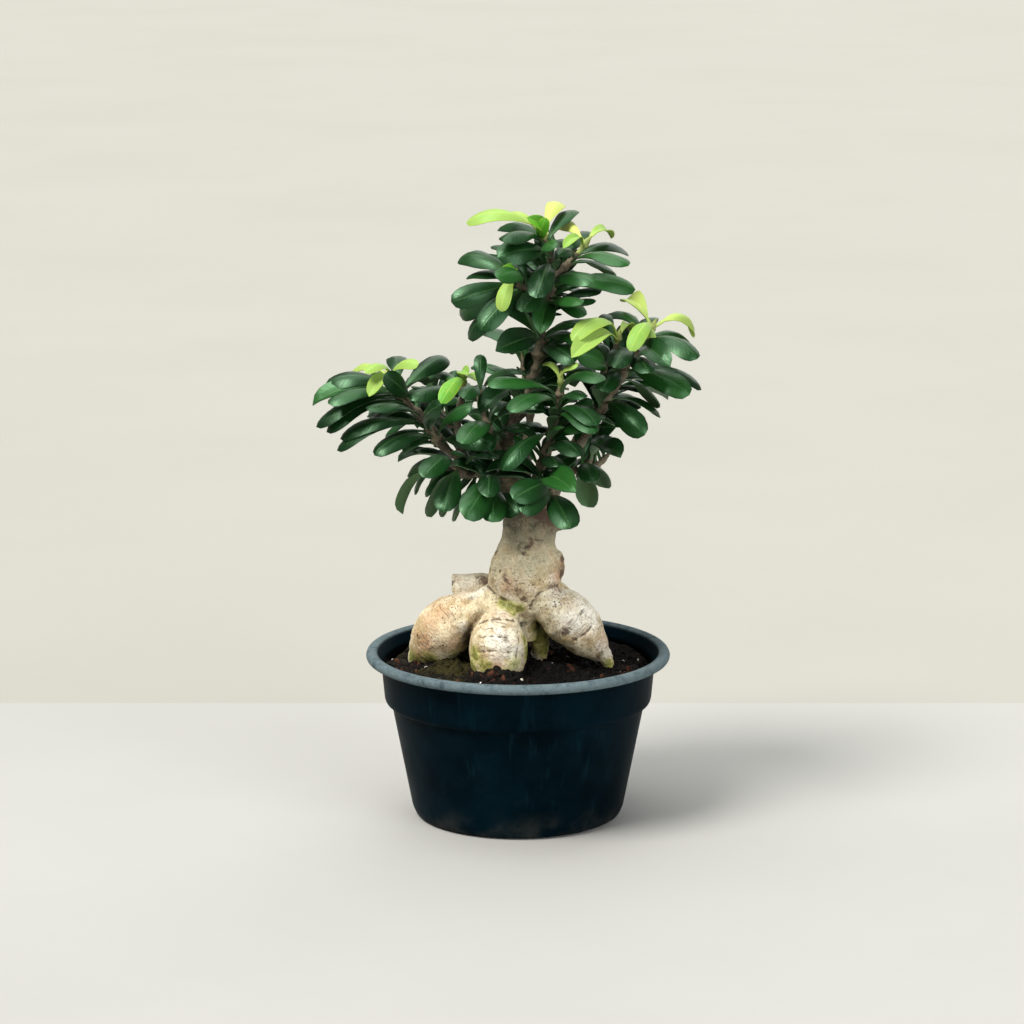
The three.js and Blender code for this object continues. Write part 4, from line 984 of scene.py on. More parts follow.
class Growth(Nodes):
    """A Geometry Nodes tree with named inputs, run once on an object that becomes its plain result."""

    KINDS = {float: "NodeSocketFloat", int: "NodeSocketInt", bpy.types.Material: "NodeSocketMaterial"}

    def __init__(self, name, **defaults):
        tree = bpy.data.node_groups.new(name, "GeometryNodeTree")
        super().__init__(tree)
        tree.interface.new_socket("Geometry", in_out="INPUT", socket_type="NodeSocketGeometry")
        tree.interface.new_socket("Geometry", in_out="OUTPUT", socket_type="NodeSocketGeometry")
        self.identifiers = {}
        for label, value in defaults.items():
            kind = next(kind for type_, kind in self.KINDS.items() if isinstance(value, type_))
            socket = tree.interface.new_socket(label.replace("_", " "), in_out="INPUT", socket_type=kind)
            socket.default_value = value
            self.identifiers[label] = socket.identifier
        entry = tree.nodes.new("NodeGroupInput")
        self.geometry = Field(self, entry.outputs["Geometry"])
        self.input = {label: Field(self, entry.outputs[label.replace("_", " ")]) for label in defaults}

    def named(self, name, kind="FLOAT"):
        """A value that the seed points carry under that name."""
        return self.add("GeometryNodeInputNamedAttribute", {"data_type": kind}, {"Name": name})()

    def store(self, geometry, name, value):
        """The geometry, with a number on each point."""
        settings = {"data_type": "FLOAT", "domain": "POINT"}
        inputs = {"Geometry": geometry, "Name": name, "Value": value}
        return self.add("GeometryNodeStoreNamedAttribute", settings, inputs)()

    def moved(self, geometry, **inputs):
        """The geometry with its points put or shifted elsewhere."""
        return self.add("GeometryNodeSetPosition", None, {"Geometry": geometry} | inputs)()

    def finish(self, geometry, material, sharp_angle=0.7):
        """Ends the tree: real geometry, smooth but for its sharp edges, in its material."""
        real = self.add("GeometryNodeRealizeInstances", None, {"Geometry": geometry})()
        smooth = self.add("GeometryNodeSetShadeSmooth", {"domain": "FACE"}, {"Geometry": real})()
        sharp = self.add("GeometryNodeInputMeshEdgeAngle")().math("GREATER_THAN", sharp_angle)
        edges = {"Geometry": smooth, "Selection": sharp, "Shade Smooth": False}
        shaded = self.add("GeometryNodeSetShadeSmooth", {"domain": "EDGE"}, edges)()
        done = self.add("GeometryNodeSetMaterial", None, {"Geometry": shaded, "Material": material})()
        leave = self.tree.nodes.new("NodeGroupOutput")
        self.tree.links.new(done.socket, leave.inputs["Geometry"])

    def grow(self, name, seeds, **values):
        """A plain mesh object grown from a mesh of seeds, with the inputs set by identifier."""
        holder = linked(name, seeds)
        modifier = holder.modifiers.new("growth", "NODES")
        modifier.node_group = self.tree
        for label, value in values.items():
            modifier[self.identifiers[label]] = value
        mesh = evaluated_mesh(holder)
        bpy.data.objects.remove(holder)
        return piece_of(name, mesh, values["Material"])


def evaluated_mesh(holder):
    """The object's mesh with its modifiers worked in."""
    bpy.context.view_layer.update()
    graph = bpy.context.evaluated_depsgraph_get()
    return bpy.data.meshes.new_from_object(holder.evaluated_get(graph))


def linked(name, data):
    """An object of that name in the scene, holding the mesh, lamp or camera."""
    holder = bpy.data.objects.new(name, data)
    bpy.context.scene.collection.objects.link(holder)
    return holder


def piece_of(name, mesh, material):
    """An object of that name at the origin, holding the mesh in its material."""
    mesh.name = name
    mesh.materials.clear()
    mesh.materials.append(material)
    return linked(name, mesh)


def read_vectors(mesh, key):
    """A vector for each point of the mesh, such as its co or normal."""
    values = np.zeros(len(mesh.vertices) * 3)
    mesh.vertices.foreach_get(key, values)
    return values.reshape(-1, 3)


def surface_of(mesh):
    """The mesh's surface, to be searched for its nearest place or what a ray meets."""
    return BVHTree.FromPolygons([v.co for v in mesh.vertices], [p.vertices for p in mesh.polygons])


def dressed(piece, slot, *nodes):
    """Seats a finished piece in the frame, over the nodes that it stands for."""
    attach(piece, BODY)
    if nodes:
        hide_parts(*nodes)
    return piece


def seed_mesh(name, points, edges=(), **attributes):
    """A mesh of loose points, with float or vector values on each."""
    mesh = bpy.data.meshes.new(name)
    mesh.from_pydata([tuple(point) for point in points], list(edges), [])
    for label, values in attributes.items():
        values = np.array(values, float)
        kind = "FLOAT_VECTOR" if values.ndim == 2 else "FLOAT"
        layer = mesh.attributes.new(label, kind, "POINT")
        layer.data.foreach_set("vector" if values.ndim == 2 else "value", values.ravel())
    return mesh


def paint(mesh, **attributes):
    """Puts a number from 0 to 1 on each corner point, for the materials to read."""
    for label, values in attributes.items():
        layer = mesh.attributes.new(label, "FLOAT", "POINT")
        layer.data.foreach_set("value", np.asarray(values, float).ravel())


# Finishes
def squared(radius):
    """The square in metres of a radius in millimetres."""
    return radius**2 * MM * MM


def pot_finish(settings):
    """Dark teal moulded plastic, mottled, with a paler and duller lip and painted shade on the wall inside
    it above the soil.
    """
    f = Finish("pot plastic")
    height = f.axis("Z")
    mottle = f.step(f.noise(24, 4, 0.6), 0.35, 0.68)
    grime = f.step(f.noise(70, 5, 0.65), 0.45, 0.75)
    streaks = f.noise(1, 3, 0.6, at=f.stretched(190, 190, 9))
    body = f.mix(mottle, settings.body, settings.body_shade)
    body = f.mix(grime * 0.25, body, colour(14, 30, 36))
    body = f.mix(f.step(streaks, 0.56, 0.74) * 0.2, body, colour(20, 50, 60))
    lip = f.mottled(settings.lip, colour(48, 62, 68), 0.8, 0.46, 0.68, 150, 6, 0.75)
    lip = f.mottled(lip, colour(130, 142, 146), 0.3, 0.5, 0.7, 620, 4, 0.7)
    lip_foot = POT_HEIGHT - LIP_HEIGHT
    on_lip = f.step(height, (lip_foot + 0.4) * MM, (lip_foot + 1.2) * MM)
    across = f.axis("X") * f.axis("X") + f.axis("Y") * f.axis("Y")
    outside = f.step(across, squared(LIP_RADIUS - 7.4), squared(LIP_RADIUS - 5.8))
    rim = on_lip * outside
    dust = f.step(height, 0.02, 0.0) * f.step(f.noise(60, 4), 0.4, 0.7) * 0.1
    shade = f.mix(dust, f.mix(rim, body, lip), colour(120, 116, 104))
    # Painted shade on the collar's inner wall above the soil
    inside = f.step(across, squared(COLLAR_RADIUS - 0.9), squared(COLLAR_RADIUS - 2))
    shade = f.mix(inside * f.step(height, 0.085, 0.087), shade, colour(1, 3, 4))
    rough = settings.dullness * 0.5 + 0.12 * f.noise(90, 4) + rim * 0.16 + grime * 0.08
    grain = f.noise(900, 3, 0.6) * 0.5 + f.noise(120, 3) * 0.5
    bumps = f.relief(grain, 0.00012, 0.5)
    return f.set(Base_Color=shade, Roughness=rough, Specular_IOR_Level=POT_SHEEN, Normal=bumps)


def root_shade(f):
    """Painted shadow: 1 on the ground between the front and right roots, 0 away from it."""
    x, y = f.axis("X") - ROOT_SHADOW_PLACE[0] * MM, f.axis("Y") - ROOT_SHADOW_PLACE[1] * MM
    return f.step((x * x + y * y) ** 0.5, ROOT_SHADOW_REACH * MM, ROOT_SHADOW_REACH * MM / 2)


def green_film(f):
    """1 where a green film lies on the ground left of the roots, 0 elsewhere."""
    return f.step(f.noise(38, 4, 0.6), 0.46, 0.64) * f.step(f.axis("X"), 0.0, -0.03)


def soil_finish(settings):
    """Damp dark potting soil with brown fibres, a little green film and painted shadow between the front and
    right roots.
    """
    f = Finish("potting soil")
    lumps = f.step(f.noise(160, 5, 0.65), 0.35, 0.7)
    shade = f.mix(lumps, colour(7, 5, 4), settings.soil)
    shade = f.mottled(shade, colour(66, 46, 32), 0.7, 0.6, 0.74, 420, 4, 0.7)
    shade = f.mix(green_film(f) * 0.55, shade, colour(66, 62, 26))
    # Painted shadow between the front and right roots
    shade = f.mix(root_shade(f) * 0.75, shade, colour(2, 2, 1))
    grain = f.noise(700, 5, 0.7) * 0.6 + f.cells(380) * 0.4
    rugged = f.relief(grain, 0.0009, 0.9)
    return f.set(Base_Color=shade, Roughness=0.93, Specular_IOR_Level=0.15, Normal=rugged)


def grain_finish(name, dark, light, film=0, shaded=0):
    """A crumb, chip or grain that varies from piece to piece, under its share of green film and of painted
    shadow between the roots.
    """
    f = Finish(name)
    shade = f.mix(f.step(f.noise(135, 2), 0.35, 0.65), dark, light)
    shade = f.mottled(shade, colour(20, 14, 10), 0.4, 0.5, 0.7, 900, 3, 0.6)
    shade = f.mix(green_film(f) * film, shade, colour(66, 62, 26))
    # Painted shadow between the front and right roots
    shade = f.mix(root_shade(f) * shaded, shade, colour(2, 2, 1))
    rugged = f.relief(f.noise(1800, 3), 0.0003, 0.6)
    return f.set(Base_Color=shade, Roughness=0.9, Specular_IOR_Level=0.2, Normal=rugged)


def bark_finish(settings):
    """Pale ficus bark: beige to grey, freckled, wrinkled and stained where its masks say, with painted shade
    in its wrinkles, folds, neck and limbs and a painted highlight on some pale patches.
    """
    f = Finish("ficus bark")
    warm, grey, pale, dark = map(f.attribute, ("warm", "grey", "pale", "dark"))
    stain, moss, freckle, hollow_shade = map(f.attribute, ("stain", "moss", "freckle", "hollow_shade"))
    cracked, ringed, reach = map(f.attribute, ("cracked", "ringed", "reach"))
    broad, patchy, fine = f.noise(45, 4, 0.6), f.noise(130, 5, 0.65), f.noise(620, 4, 0.7)
    # Broad tones
    shade = f.mix(f.step(broad * 0.45 + patchy * 0.55, 0.42, 0.58), settings.bark, settings.bark_light)
    # Pale bark, which on the tops of the right and front roots is also a painted highlight
    shade = f.mix(pale * f.step(patchy + pale * 0.3, 0.5, 0.72), shade, settings.bark_pale)
    shade = f.mix(grey * (0.35 + 0.65 * f.step(patchy, 0.3, 0.65)), shade, settings.bark_grey)
    shade = f.mix(warm * f.step(patchy, 0.28, 0.55) * 0.9, shade, settings.bark_warm)
    for tone, *pattern in BARK_TONES:
        shade = f.mottled(shade, colour(*tone), *pattern)
    # Painted shade under the crown on the neck and the limbs
    shade = f.mix(dark * (0.65 + 0.35 * f.step(patchy, 0.35, 0.6)), shade, settings.bark_crown_shade)
    # Fibres, grain and grit
    fibre_place = f.joined(reach, f.axis("X") * 0.22, f.axis("Y") * 0.22)
    fibres = f.noise(1100, 4, 0.65, at=fibre_place)
    shade = f.mix(f.step(fibres, 0.5, 0.72) * (0.22 + 0.14 * ringed), shade, colour(112, 92, 64))
    shade = f.mix(f.step(fine, 0.48, 0.64) * 0.42, shade, colour(128, 102, 70))
    grit = f.noise(1500, 3, 0.7)
    shade = f.mix(f.step(grit, 0.55, 0.68) * 0.3, shade, colour(96, 74, 50))
    shade = f.mix(f.step(grit, 0.44, 0.34) * 0.25, shade, colour(250, 244, 224))
    # Pores and flecks
    sparse = f.step(f.noise(260, 4, 0.75) + freckle * 0.22, 0.58, 0.7)
    dots = f.step(f.cells(560) + (f.noise(380, 3) - 0.5) * 0.5, 0.32, 0.22) * sparse
    shade = f.mix(dots * (0.6 + 0.35 * freckle), shade, settings.freckles)
    clouds = f.step(f.noise(80, 4, 0.6) + freckle * 0.26, 0.54, 0.72)
    flecks = f.step(f.noise(820, 4, 0.75), 0.59, 0.67) * clouds
    shade = f.mix(flecks * 0.8, shade, settings.freckles)
    # Creases round each root
    ring_place = f.joined(reach + f.noise(70, 3) * 0.006, f.axis("X") * 0.07, f.axis("Y") * 0.07)
    rings = f.noise(430, 2, 0.6, at=ring_place)
    ridge = f.step((rings - 0.5).math("ABSOLUTE"), 0.026, 0.004)
    creases = ridge * ringed * f.step(f.noise(55, 4, 0.65), 0.5, 0.62)
    shade = f.mix(creases * 0.5, shade, colour(84, 62, 42))
    # Stains and moss, then painted shade in the wrinkles and in the folds between swellings
    blot = f.noise(330, 5, 0.72, distortion=0.4)
    shade = f.mix(f.step(blot + stain * 0.55, 0.72, 0.94) * 0.85, shade, settings.stain)
    green = f.step(f.noise(240, 5, 0.7) + moss * 0.5, 0.7, 0.9)
    film = f.mix(f.step(fine, 0.4, 0.6), colour(82, 90, 30), colour(150, 150, 60))
    shade = f.mix(f.step(moss, 0.05, 0.65) * 0.62, shade, colour(190, 190, 92))
    shade = f.mix(green * 0.8, shade, film)
    # Painted shade in the wrinkles
    shade = f.mix(f.step(cracked + (fine - 0.5) * 0.7, 0.24, 0.52) * 0.75, shade, colour(72, 54, 34))
    # Painted shade in the folds between swellings
    shade = f.mix(f.step(hollow_shade + (patchy - 0.5) * 0.5, 0.2, 0.85) * 0.85, shade, colour(44, 38, 22))
    height = fine * 0.3 + grit * 0.1 + patchy * 0.4 + (1 - creases) * 0.3 + (1 - dots) * 0.08 + fibres * 0.08
    rough = 0.6 + 0.22 * patchy
    return f.set(Base_Color=shade, Roughness=rough, Normal=f.relief(height, 0.0021, 0.9))


def twig_finish(name, dark, light, lenticel):
    """Thin bark with pale lenticels across it."""
    f = Finish(name)
    shade = f.mix(f.step(f.noise(140, 4, 0.6), 0.35, 0.65), dark, light)
    dots = f.step(f.cells(700), 0.3, 0.15) * f.step(f.noise(300, 2), 0.45, 0.6)
    shade = f.mix(dots * 0.7, shade, lenticel)
    shade = f.mottled(shade, colour(52, 42, 32), 0.45, 0.54, 0.7, 850, 4, 0.7)
    height = f.noise(900, 4, 0.7) * 0.6 + dots * 0.4
    return f.set(Base_Color=shade, Roughness=0.78, Normal=f.relief(height, 0.0006, 0.8))


def leaf_finish(name, shades, vein, rim, back, dullness, sheen):
    """A waxy blade: faint midrib and side veins, a rim that is painted shade on old leaves, dull paler back,
    tone varied by leaf.
    """
    f = Finish(name)
    share, across, tone = f.attribute("share"), f.attribute("across"), f.attribute("tone")
    dark, middle, light = shades
    off = across.math("ABSOLUTE")
    mixed = tone + (f.noise(60, 3) - 0.5) * 0.35
    shade = f.mix(f.step(mixed, 0.45, 1.0), f.mix(f.step(mixed, 0.0, 0.45), dark, middle), light)
    shade = f.mottled(shade, light, 0.15, 0.45, 0.75, 260, 4, 0.6)
    shade = f.mix(f.step(share, 0.45, 0.1) * 0.3, shade, vein)
    wave = (share * 15 - off * 2.6).math("FRACT")
    inner = f.step(off, 0.96, 0.7) * f.step(share, 0.14, 0.3)
    side_veins = f.step((wave - 0.5).math("ABSOLUTE"), 0.07, 0.0) * inner
    midrib = f.step(off, 0.1, 0.02)
    shade = f.mix(side_veins * 0.1, shade, vein)
    shade = f.mix(midrib * 0.22, shade, vein)
    # Rim colour: painted shade along old leaves' edges, the young leaves' own yellow-green edge
    shade = f.mix(f.step(off, 0.8, 1.0) * 0.55, shade, rim)
    below = f.step(f.attribute("under"), 0.6, 0.95)
    shade = f.mix(below * 0.75, shade, back)
    rough = dullness + 0.16 * f.noise(180, 4) + 0.06 * tone + 0.2 * below
    height = f.noise(480, 3) * 0.35 + (1 - midrib) * 0.35 + (1 - side_veins) * 0.3
    return f.set(
        Base_Color=shade, Roughness=rough, Specular_IOR_Level=sheen, Specular_Tint=colour(196, 255, 204),
        Normal=f.relief(height, 0.00022, 0.6),
    )


def plaster_finish(name, tone, dark):
    """Matt pale plaster with a faint trowelled mottle."""
    f = Finish(name)
    shade = f.mottled(tone, dark, 0.5, 0.3, 0.75, 2.4, 4, 0.6)
    return f.set(Base_Color=shade, Roughness=0.85, Normal=f.relief(f.noise(28, 5, 0.6), 0.0012, 0.25))


# Shapes
def photo_ray(x, y):
    """The direction from the camera through a pixel of the photograph."""
    across = (x - FRAME_SIDE / 2) * SENSOR / LENS / FRAME_SIDE
    up = (FRAME_SIDE / 2 - y) * SENSOR / LENS / FRAME_SIDE
    forward = Vector((0, math.cos(PITCH), -math.sin(PITCH)))
    upward = Vector((0, math.sin(PITCH), math.cos(PITCH)))
    return (forward + Vector((1, 0, 0)) * across + upward * up).normalized()


def seen_place(tree, x, y):
    """Where a pixel of the photograph meets a surface, in millimetres."""
    hit = tree.ray_cast(Vector(EYE * MM), photo_ray(x, y))[0]
    return None if hit is None else np.array(hit) / MM


def smooth_path(stations, step):
    """Points on a smooth curve through stations of x, y, z and radius, about step apart."""
    rows = np.array(stations, float)
    ends = np.vstack([2 * rows[0] - rows[1], rows, 2 * rows[-1] - rows[-2]])
    made = []
    for i in range(1, len(ends) - 2):
        before, here, there, after = ends[i - 1], ends[i], ends[i + 1], ends[i + 2]
        count = max(2, round(np.linalg.norm(there[:3] - here[:3]) / step))
        for t in np.arange(count) / count:
            bend = 2 * before - 5 * here + 4 * there - after
            close = 3 * here - before - 3 * there + after
            made.append(0.5 * (2 * here + (there - before) * t + bend * t**2 + close * t**3))
    return np.array([*made, rows[-1]])


def lathe(name, profile, sides):
    """A closed body turned about Z from a profile that starts and ends on the axis."""
    mesh = bpy.data.meshes.new(name)
    rings = [(radius * MM, z * MM) for radius, z in profile[1:-1]]
    turns = [(math.cos(a), math.sin(a)) for a in np.arange(sides) / sides * 2 * math.pi]
    points = [(r * c, r * s, z) for r, z in rings for c, s in turns]
    first, last = len(points), len(points) + 1
    points += [(0, 0, profile[0][1] * MM), (0, 0, profile[-1][1] * MM)]
    faces = []
    for i in range(sides):
        j = (i + 1) % sides
        faces.append((first, j, i))
        faces.append((last, (len(rings) - 1) * sides + i, (len(rings) - 1) * sides + j))
        for ring in range(len(rings) - 1):
            a, b = ring * sides, (ring + 1) * sides
            faces.append((a + i, a + j, b + j, b + i))
    mesh.from_pydata(points, [], faces)
    mesh.update()
    return mesh


def rounded(profile):
    """The profile with each of its corners rounded off."""
    made = [profile[0]]
    for before, corner, after in zip(profile, profile[1:], profile[2:]):
        corner, before, after = (np.array(p, float) for p in (corner, before, after))
        back, ahead = before - corner, after - corner
        reach = min(EDGE_ROUNDING, np.linalg.norm(back) * 0.45, np.linalg.norm(ahead) * 0.45)
        start = corner + back / np.linalg.norm(back) * reach
        end = corner + ahead / np.linalg.norm(ahead) * reach
        for t in np.linspace(0, 1, EDGE_STEPS):
            made.append(tuple((1 - t) ** 2 * start + 2 * t * (1 - t) * corner + t**2 * end))
    return [*made, profile[-1]]


def shade_smooth(mesh, angle=0.6):
    """Smooth shading that leaves edges sharper than the angle crisp."""
    mesh.shade_smooth()
    mesh.set_sharp_from_angle(angle=angle)


def height_of_soil(x, y):
    """The soil's height with its waves and heaps, in millimetres."""
    long = math.sin(x / LONG_WAVE[0] + 1) * math.cos(y / LONG_WAVE[1])
    short = 0.5 * math.sin(x / SHORT_WAVE[0] + y / SHORT_WAVE[1])
    heaps = [
        rise * math.exp(-((math.hypot(x - at_x, y - at_y) / radius) ** 2))
        for at_x, at_y, radius, rise in HEAPS
    ]
    return SOIL_Z + SOIL_WAVE * (long + short) + sum(heaps)


def sweep_tree():
    """Growth that turns polylines with a radius on each point into closed stems."""
    g = Growth("stems", Sides=10, Knobbliness=0.0, Material=bpy.data.materials[0])
    curve = g.add("GeometryNodeMeshToCurve", None, {"Mesh": g.geometry})()
    round_ring = {"Resolution": g.input["Sides"], "Radius": 1.0}
    ring = g.add("GeometryNodeCurvePrimitiveCircle", {"mode": "RADIUS"}, round_ring)()
    inputs = {"Curve": curve, "Profile Curve": ring, "Scale": g.named("radius"), "Fill Caps": True}
    tube = g.add("GeometryNodeCurveToMesh", None, inputs)()
    joined = g.add("GeometryNodeMergeByDistance", None, {"Geometry": tube, "Distance": WELD})()
    lumps = g.add("ShaderNodeTexNoise", None, {"Scale": 420.0, "Detail": 2.0})() - 0.5
    normal = g.add("GeometryNodeInputNormal")()
    bumpy = g.moved(joined, Offset=g.scaled(normal, lumps * g.input["Knobbliness"]))
    g.finish(bumpy, g.input["Material"], sharp_angle=1.2)
    return g


def blade_tree():
    """Growth that stands a curved leaf on each seed point, shaped by the values on the point."""
    g = Growth(
        "blades", Sections=10, Columns=4, Thickness=0.0006, Petiole_Radius=PETIOLE_RADIUS * MM,
        Blade_Start=BLADE_START, Material=bpy.data.materials[0],
    )
    points = {"Vertices X": g.input["Sections"] + 1, "Vertices Y": g.input["Columns"] + 1}
    grid = g.add("GeometryNodeMeshGrid", None, {"Size X": 1.0, "Size Y": 2.0} | points)()
    spot = g.add("ShaderNodeSeparateXYZ", None, {"Vector": g.add("GeometryNodeInputPosition")()})
    step = (spot("X") + 0.5) * g.input["Sections"]
    part = 1 - (1 - ((step - 1) / (g.input["Sections"] - 1)).math("MAXIMUM", 0.0)) ** SECTION_EASE
    start = g.input["Blade_Start"]
    share = step.math("MINIMUM", 1.0) * start + part * (1 - start)
    marked = g.store(g.store(grid, "share", share), "across", spot("Y"))
    stood = g.add("GeometryNodeInstanceOnPoints", None, {"Points": g.geometry, "Instance": marked})()
    real = g.add("GeometryNodeRealizeInstances", None, {"Geometry": stood})()
    s, c = g.named("share"), g.named("across")
    blade = ((s - start) / (1 - start)).math("MAXIMUM", 0.0)
    outline = blade**OUTLINE_FRONT * (1 - blade**OUTLINE_END).math("MAXIMUM", 0.0) ** 0.5 / OUTLINE_PEAK
    petiole = g.input["Petiole_Radius"] * (1 - blade * PETIOLE_TAPER)
    half = petiole + (g.named("width") - petiole) * outline
    off = c.math("ABSOLUTE")
    ripple = ((s * RIPPLES + g.named("phase")) * (2 * math.pi)).math("SINE") * g.named("wave") * off
    fold = off * g.named("fold") + (BOW_LEVEL - off * off) * g.named("bow") + ripple
    hump = 4 * s**HUMP_RISE * (1 - s) ** HUMP_FALL
    rise = g.named("length") * g.named("arch") * hump + half * fold * g.step(blade, 0.0, 0.2)
    roll = g.named("twist") * blade
    side, normal = g.named("side", "FLOAT_VECTOR"), g.named("normal", "FLOAT_VECTOR")
    place = g.named("root", "FLOAT_VECTOR")
    place = g.vector_math("ADD", place, g.scaled(g.named("along", "FLOAT_VECTOR"), g.named("length") * s))
    place = g.vector_math("ADD", place, g.scaled(side, c * half * roll.math("COSINE")))
    place = g.vector_math("ADD", place, g.scaled(normal, rise + c * half * roll.math("SINE")))
    curved = g.moved(real, Position=place)
    thick = g.input["Thickness"] * (1 + STALK_THICKENING * g.step(s, start * 1.3, start * 0.6))
    sheet = {"Mesh": curved, "Offset Scale": thick, "Individual": False}
    under = g.add("GeometryNodeExtrudeMesh", {"mode": "FACES"}, sheet)()
    under = g.store(under, "under", 1.0)
    upper = g.add("GeometryNodeFlipFaces", None, {"Mesh": curved})()
    both = g.tree.nodes.new("GeometryNodeJoinGeometry")
    for side_sheet in (upper, under):
        g.tree.links.new(side_sheet.socket, both.inputs[0])
    joined = {"Geometry": Field(g, both.outputs[0]), "Distance": WELD}
    closed = g.add("GeometryNodeMergeByDistance", None, joined)()
    g.finish(closed, g.input["Material"], sharp_angle=0.9)
    return g


def scatter_tree():
    """Growth that strews small grains over the open part of a surface, a little sunk."""
    g = Growth(
        "grains", Density=100000.0, Smallest=0.0005, Largest=0.0015, Flatness=0.7, Stretch=1.0, Detail=1,
        Sink=0.0003, Seed=1, Material=bpy.data.materials[0],
    )
    spread = {"Mesh": g.geometry, "Density": g.input["Density"] * g.named("open"), "Seed": g.input["Seed"]}
    points = g.add("GeometryNodeDistributePointsOnFaces", {"distribute_method": "RANDOM"}, spread)
    ball = g.add("GeometryNodeMeshIcoSphere", None, {"Radius": 1.0, "Subdivisions": g.input["Detail"]})()
    any_turn = {0: (0, 0, 0), 1: (GRAIN_TURN, GRAIN_TURN, GRAIN_TURN), "Seed": g.input["Seed"]}
    turns = g.add("FunctionNodeRandomValue", {"data_type": "FLOAT_VECTOR"}, any_turn)(0)
    any_share = {2: 0.0, 3: 1.0, "Seed": g.input["Seed"] + 7}
    draw = g.add("FunctionNodeRandomValue", {"data_type": "FLOAT"}, any_share)(1)
    size = g.input["Smallest"] + (g.input["Largest"] - g.input["Smallest"]) * draw**2
    scale = {"X": size * g.input["Stretch"], "Y": size, "Z": size * g.input["Flatness"]}
    inputs = {
        "Points": points("Points"), "Instance": ball, "Rotation": turns,
        "Scale": g.add("ShaderNodeCombineXYZ", None, scale)(),
    }
    stood = g.add("GeometryNodeInstanceOnPoints", None, inputs)()
    real = g.add("GeometryNodeRealizeInstances", None, {"Geometry": stood})()
    lumps = g.add("ShaderNodeTexNoise", None, {"Scale": 900.0, "Detail": 2.0})("Color")
    shift = g.scaled(g.vector_math("SUBTRACT", lumps, (0.5, 0.5, 0.5)), g.input["Smallest"] * 1.6)
    down = g.add("ShaderNodeCombineXYZ", None, {"Z": g.input["Sink"] * -1})()
    ragged = g.moved(real, Offset=g.vector_math("ADD", shift, down))
    g.finish(ragged, g.input["Material"], sharp_angle=0.8)
    return g


# Pieces
def pot_profile():
    """Radius and height round the pot's section, from the middle of its base to the middle of its floor."""
    lip_foot = POT_HEIGHT - LIP_HEIGHT
    outside = [
        (0, 0), (BASE_RADIUS, 0), (BASE_RADIUS + 0.65 * BASE_ROUND_WIDTH, 0.25 * BASE_ROUND_HEIGHT),
        (BASE_RADIUS + BASE_ROUND_WIDTH, BASE_ROUND_HEIGHT),
        (BODY_RADIUS, COLLAR_FOOT_Z - 0.6), (COLLAR_FOOT_RADIUS - 0.8, COLLAR_FOOT_Z),
        (COLLAR_FOOT_RADIUS, COLLAR_FOOT_Z + 2.4), (COLLAR_RADIUS, lip_foot - 0.3),
        (LIP_RADIUS - 3.4, lip_foot), (LIP_RADIUS - 0.6, lip_foot + 1.4), (LIP_RADIUS, lip_foot + 3.6),
        (LIP_RADIUS - 1.2, POT_HEIGHT - 0.7), (LIP_RADIUS - 3.4, POT_HEIGHT),
        (LIP_RADIUS - 6.4, POT_HEIGHT - 1),
    ]
    inside = [
        (COLLAR_RADIUS - WALL, COLLAR_TOP_Z), (COLLAR_FOOT_RADIUS - WALL, COLLAR_STEP_Z),
        (BODY_RADIUS - WALL, COLLAR_FOOT_Z), (BASE_RADIUS + BASE_ROUND_WIDTH - WALL, BASE_ROUND_HEIGHT),
        (BASE_RADIUS - WALL, FLOOR), (0, FLOOR),
    ]
    return rounded([*outside, *inside])


def make_pot(settings):
    """The nursery pot, turned and drilled."""
    mesh = lathe("nursery_pot", pot_profile(), settings.sides)
    body = linked("pot_body", mesh)
    drill = bmesh.new()
    for hole in range(DRAIN_COUNT):
        angle = (hole + 0.5) / DRAIN_COUNT * 2 * math.pi
        spot = Vector((math.cos(angle), math.sin(angle), 0)) * DRAIN_CIRCLE * MM
        sizes = {"radius1": DRAIN_RADIUS * MM, "radius2": DRAIN_RADIUS * MM, "depth": 4 * FLOOR * MM}
        bmesh.ops.create_cone(
            drill, cap_ends=True, segments=DRAIN_SIDES, matrix=Matrix.Translation(spot), **sizes,
        )
    holes = bpy.data.meshes.new("drain_holes")
    drill.to_mesh(holes)
    drill.free()
    cutter = linked("drain_holes", holes)
    cut = body.modifiers.new("drain_holes", "BOOLEAN")
    cut.operation, cut.solver, cut.object = "DIFFERENCE", "EXACT", cutter
    drained = evaluated_mesh(body)
    shade_smooth(drained, 0.75)
    bpy.data.objects.remove(body)
    bpy.data.objects.remove(cutter)
    dressed(piece_of("nursery_pot", drained, pot_finish(settings)), "pot_plastic", "pot")


def soil_edge():
    """Radius of the soil's top, where it meets the collar's inside."""
    run = (COLLAR_RADIUS - COLLAR_FOOT_RADIUS) / (COLLAR_TOP_Z - COLLAR_STEP_Z)
    return COLLAR_FOOT_RADIUS - WALL + run * (SOIL_Z - COLLAR_STEP_Z) - SEAT_GAP


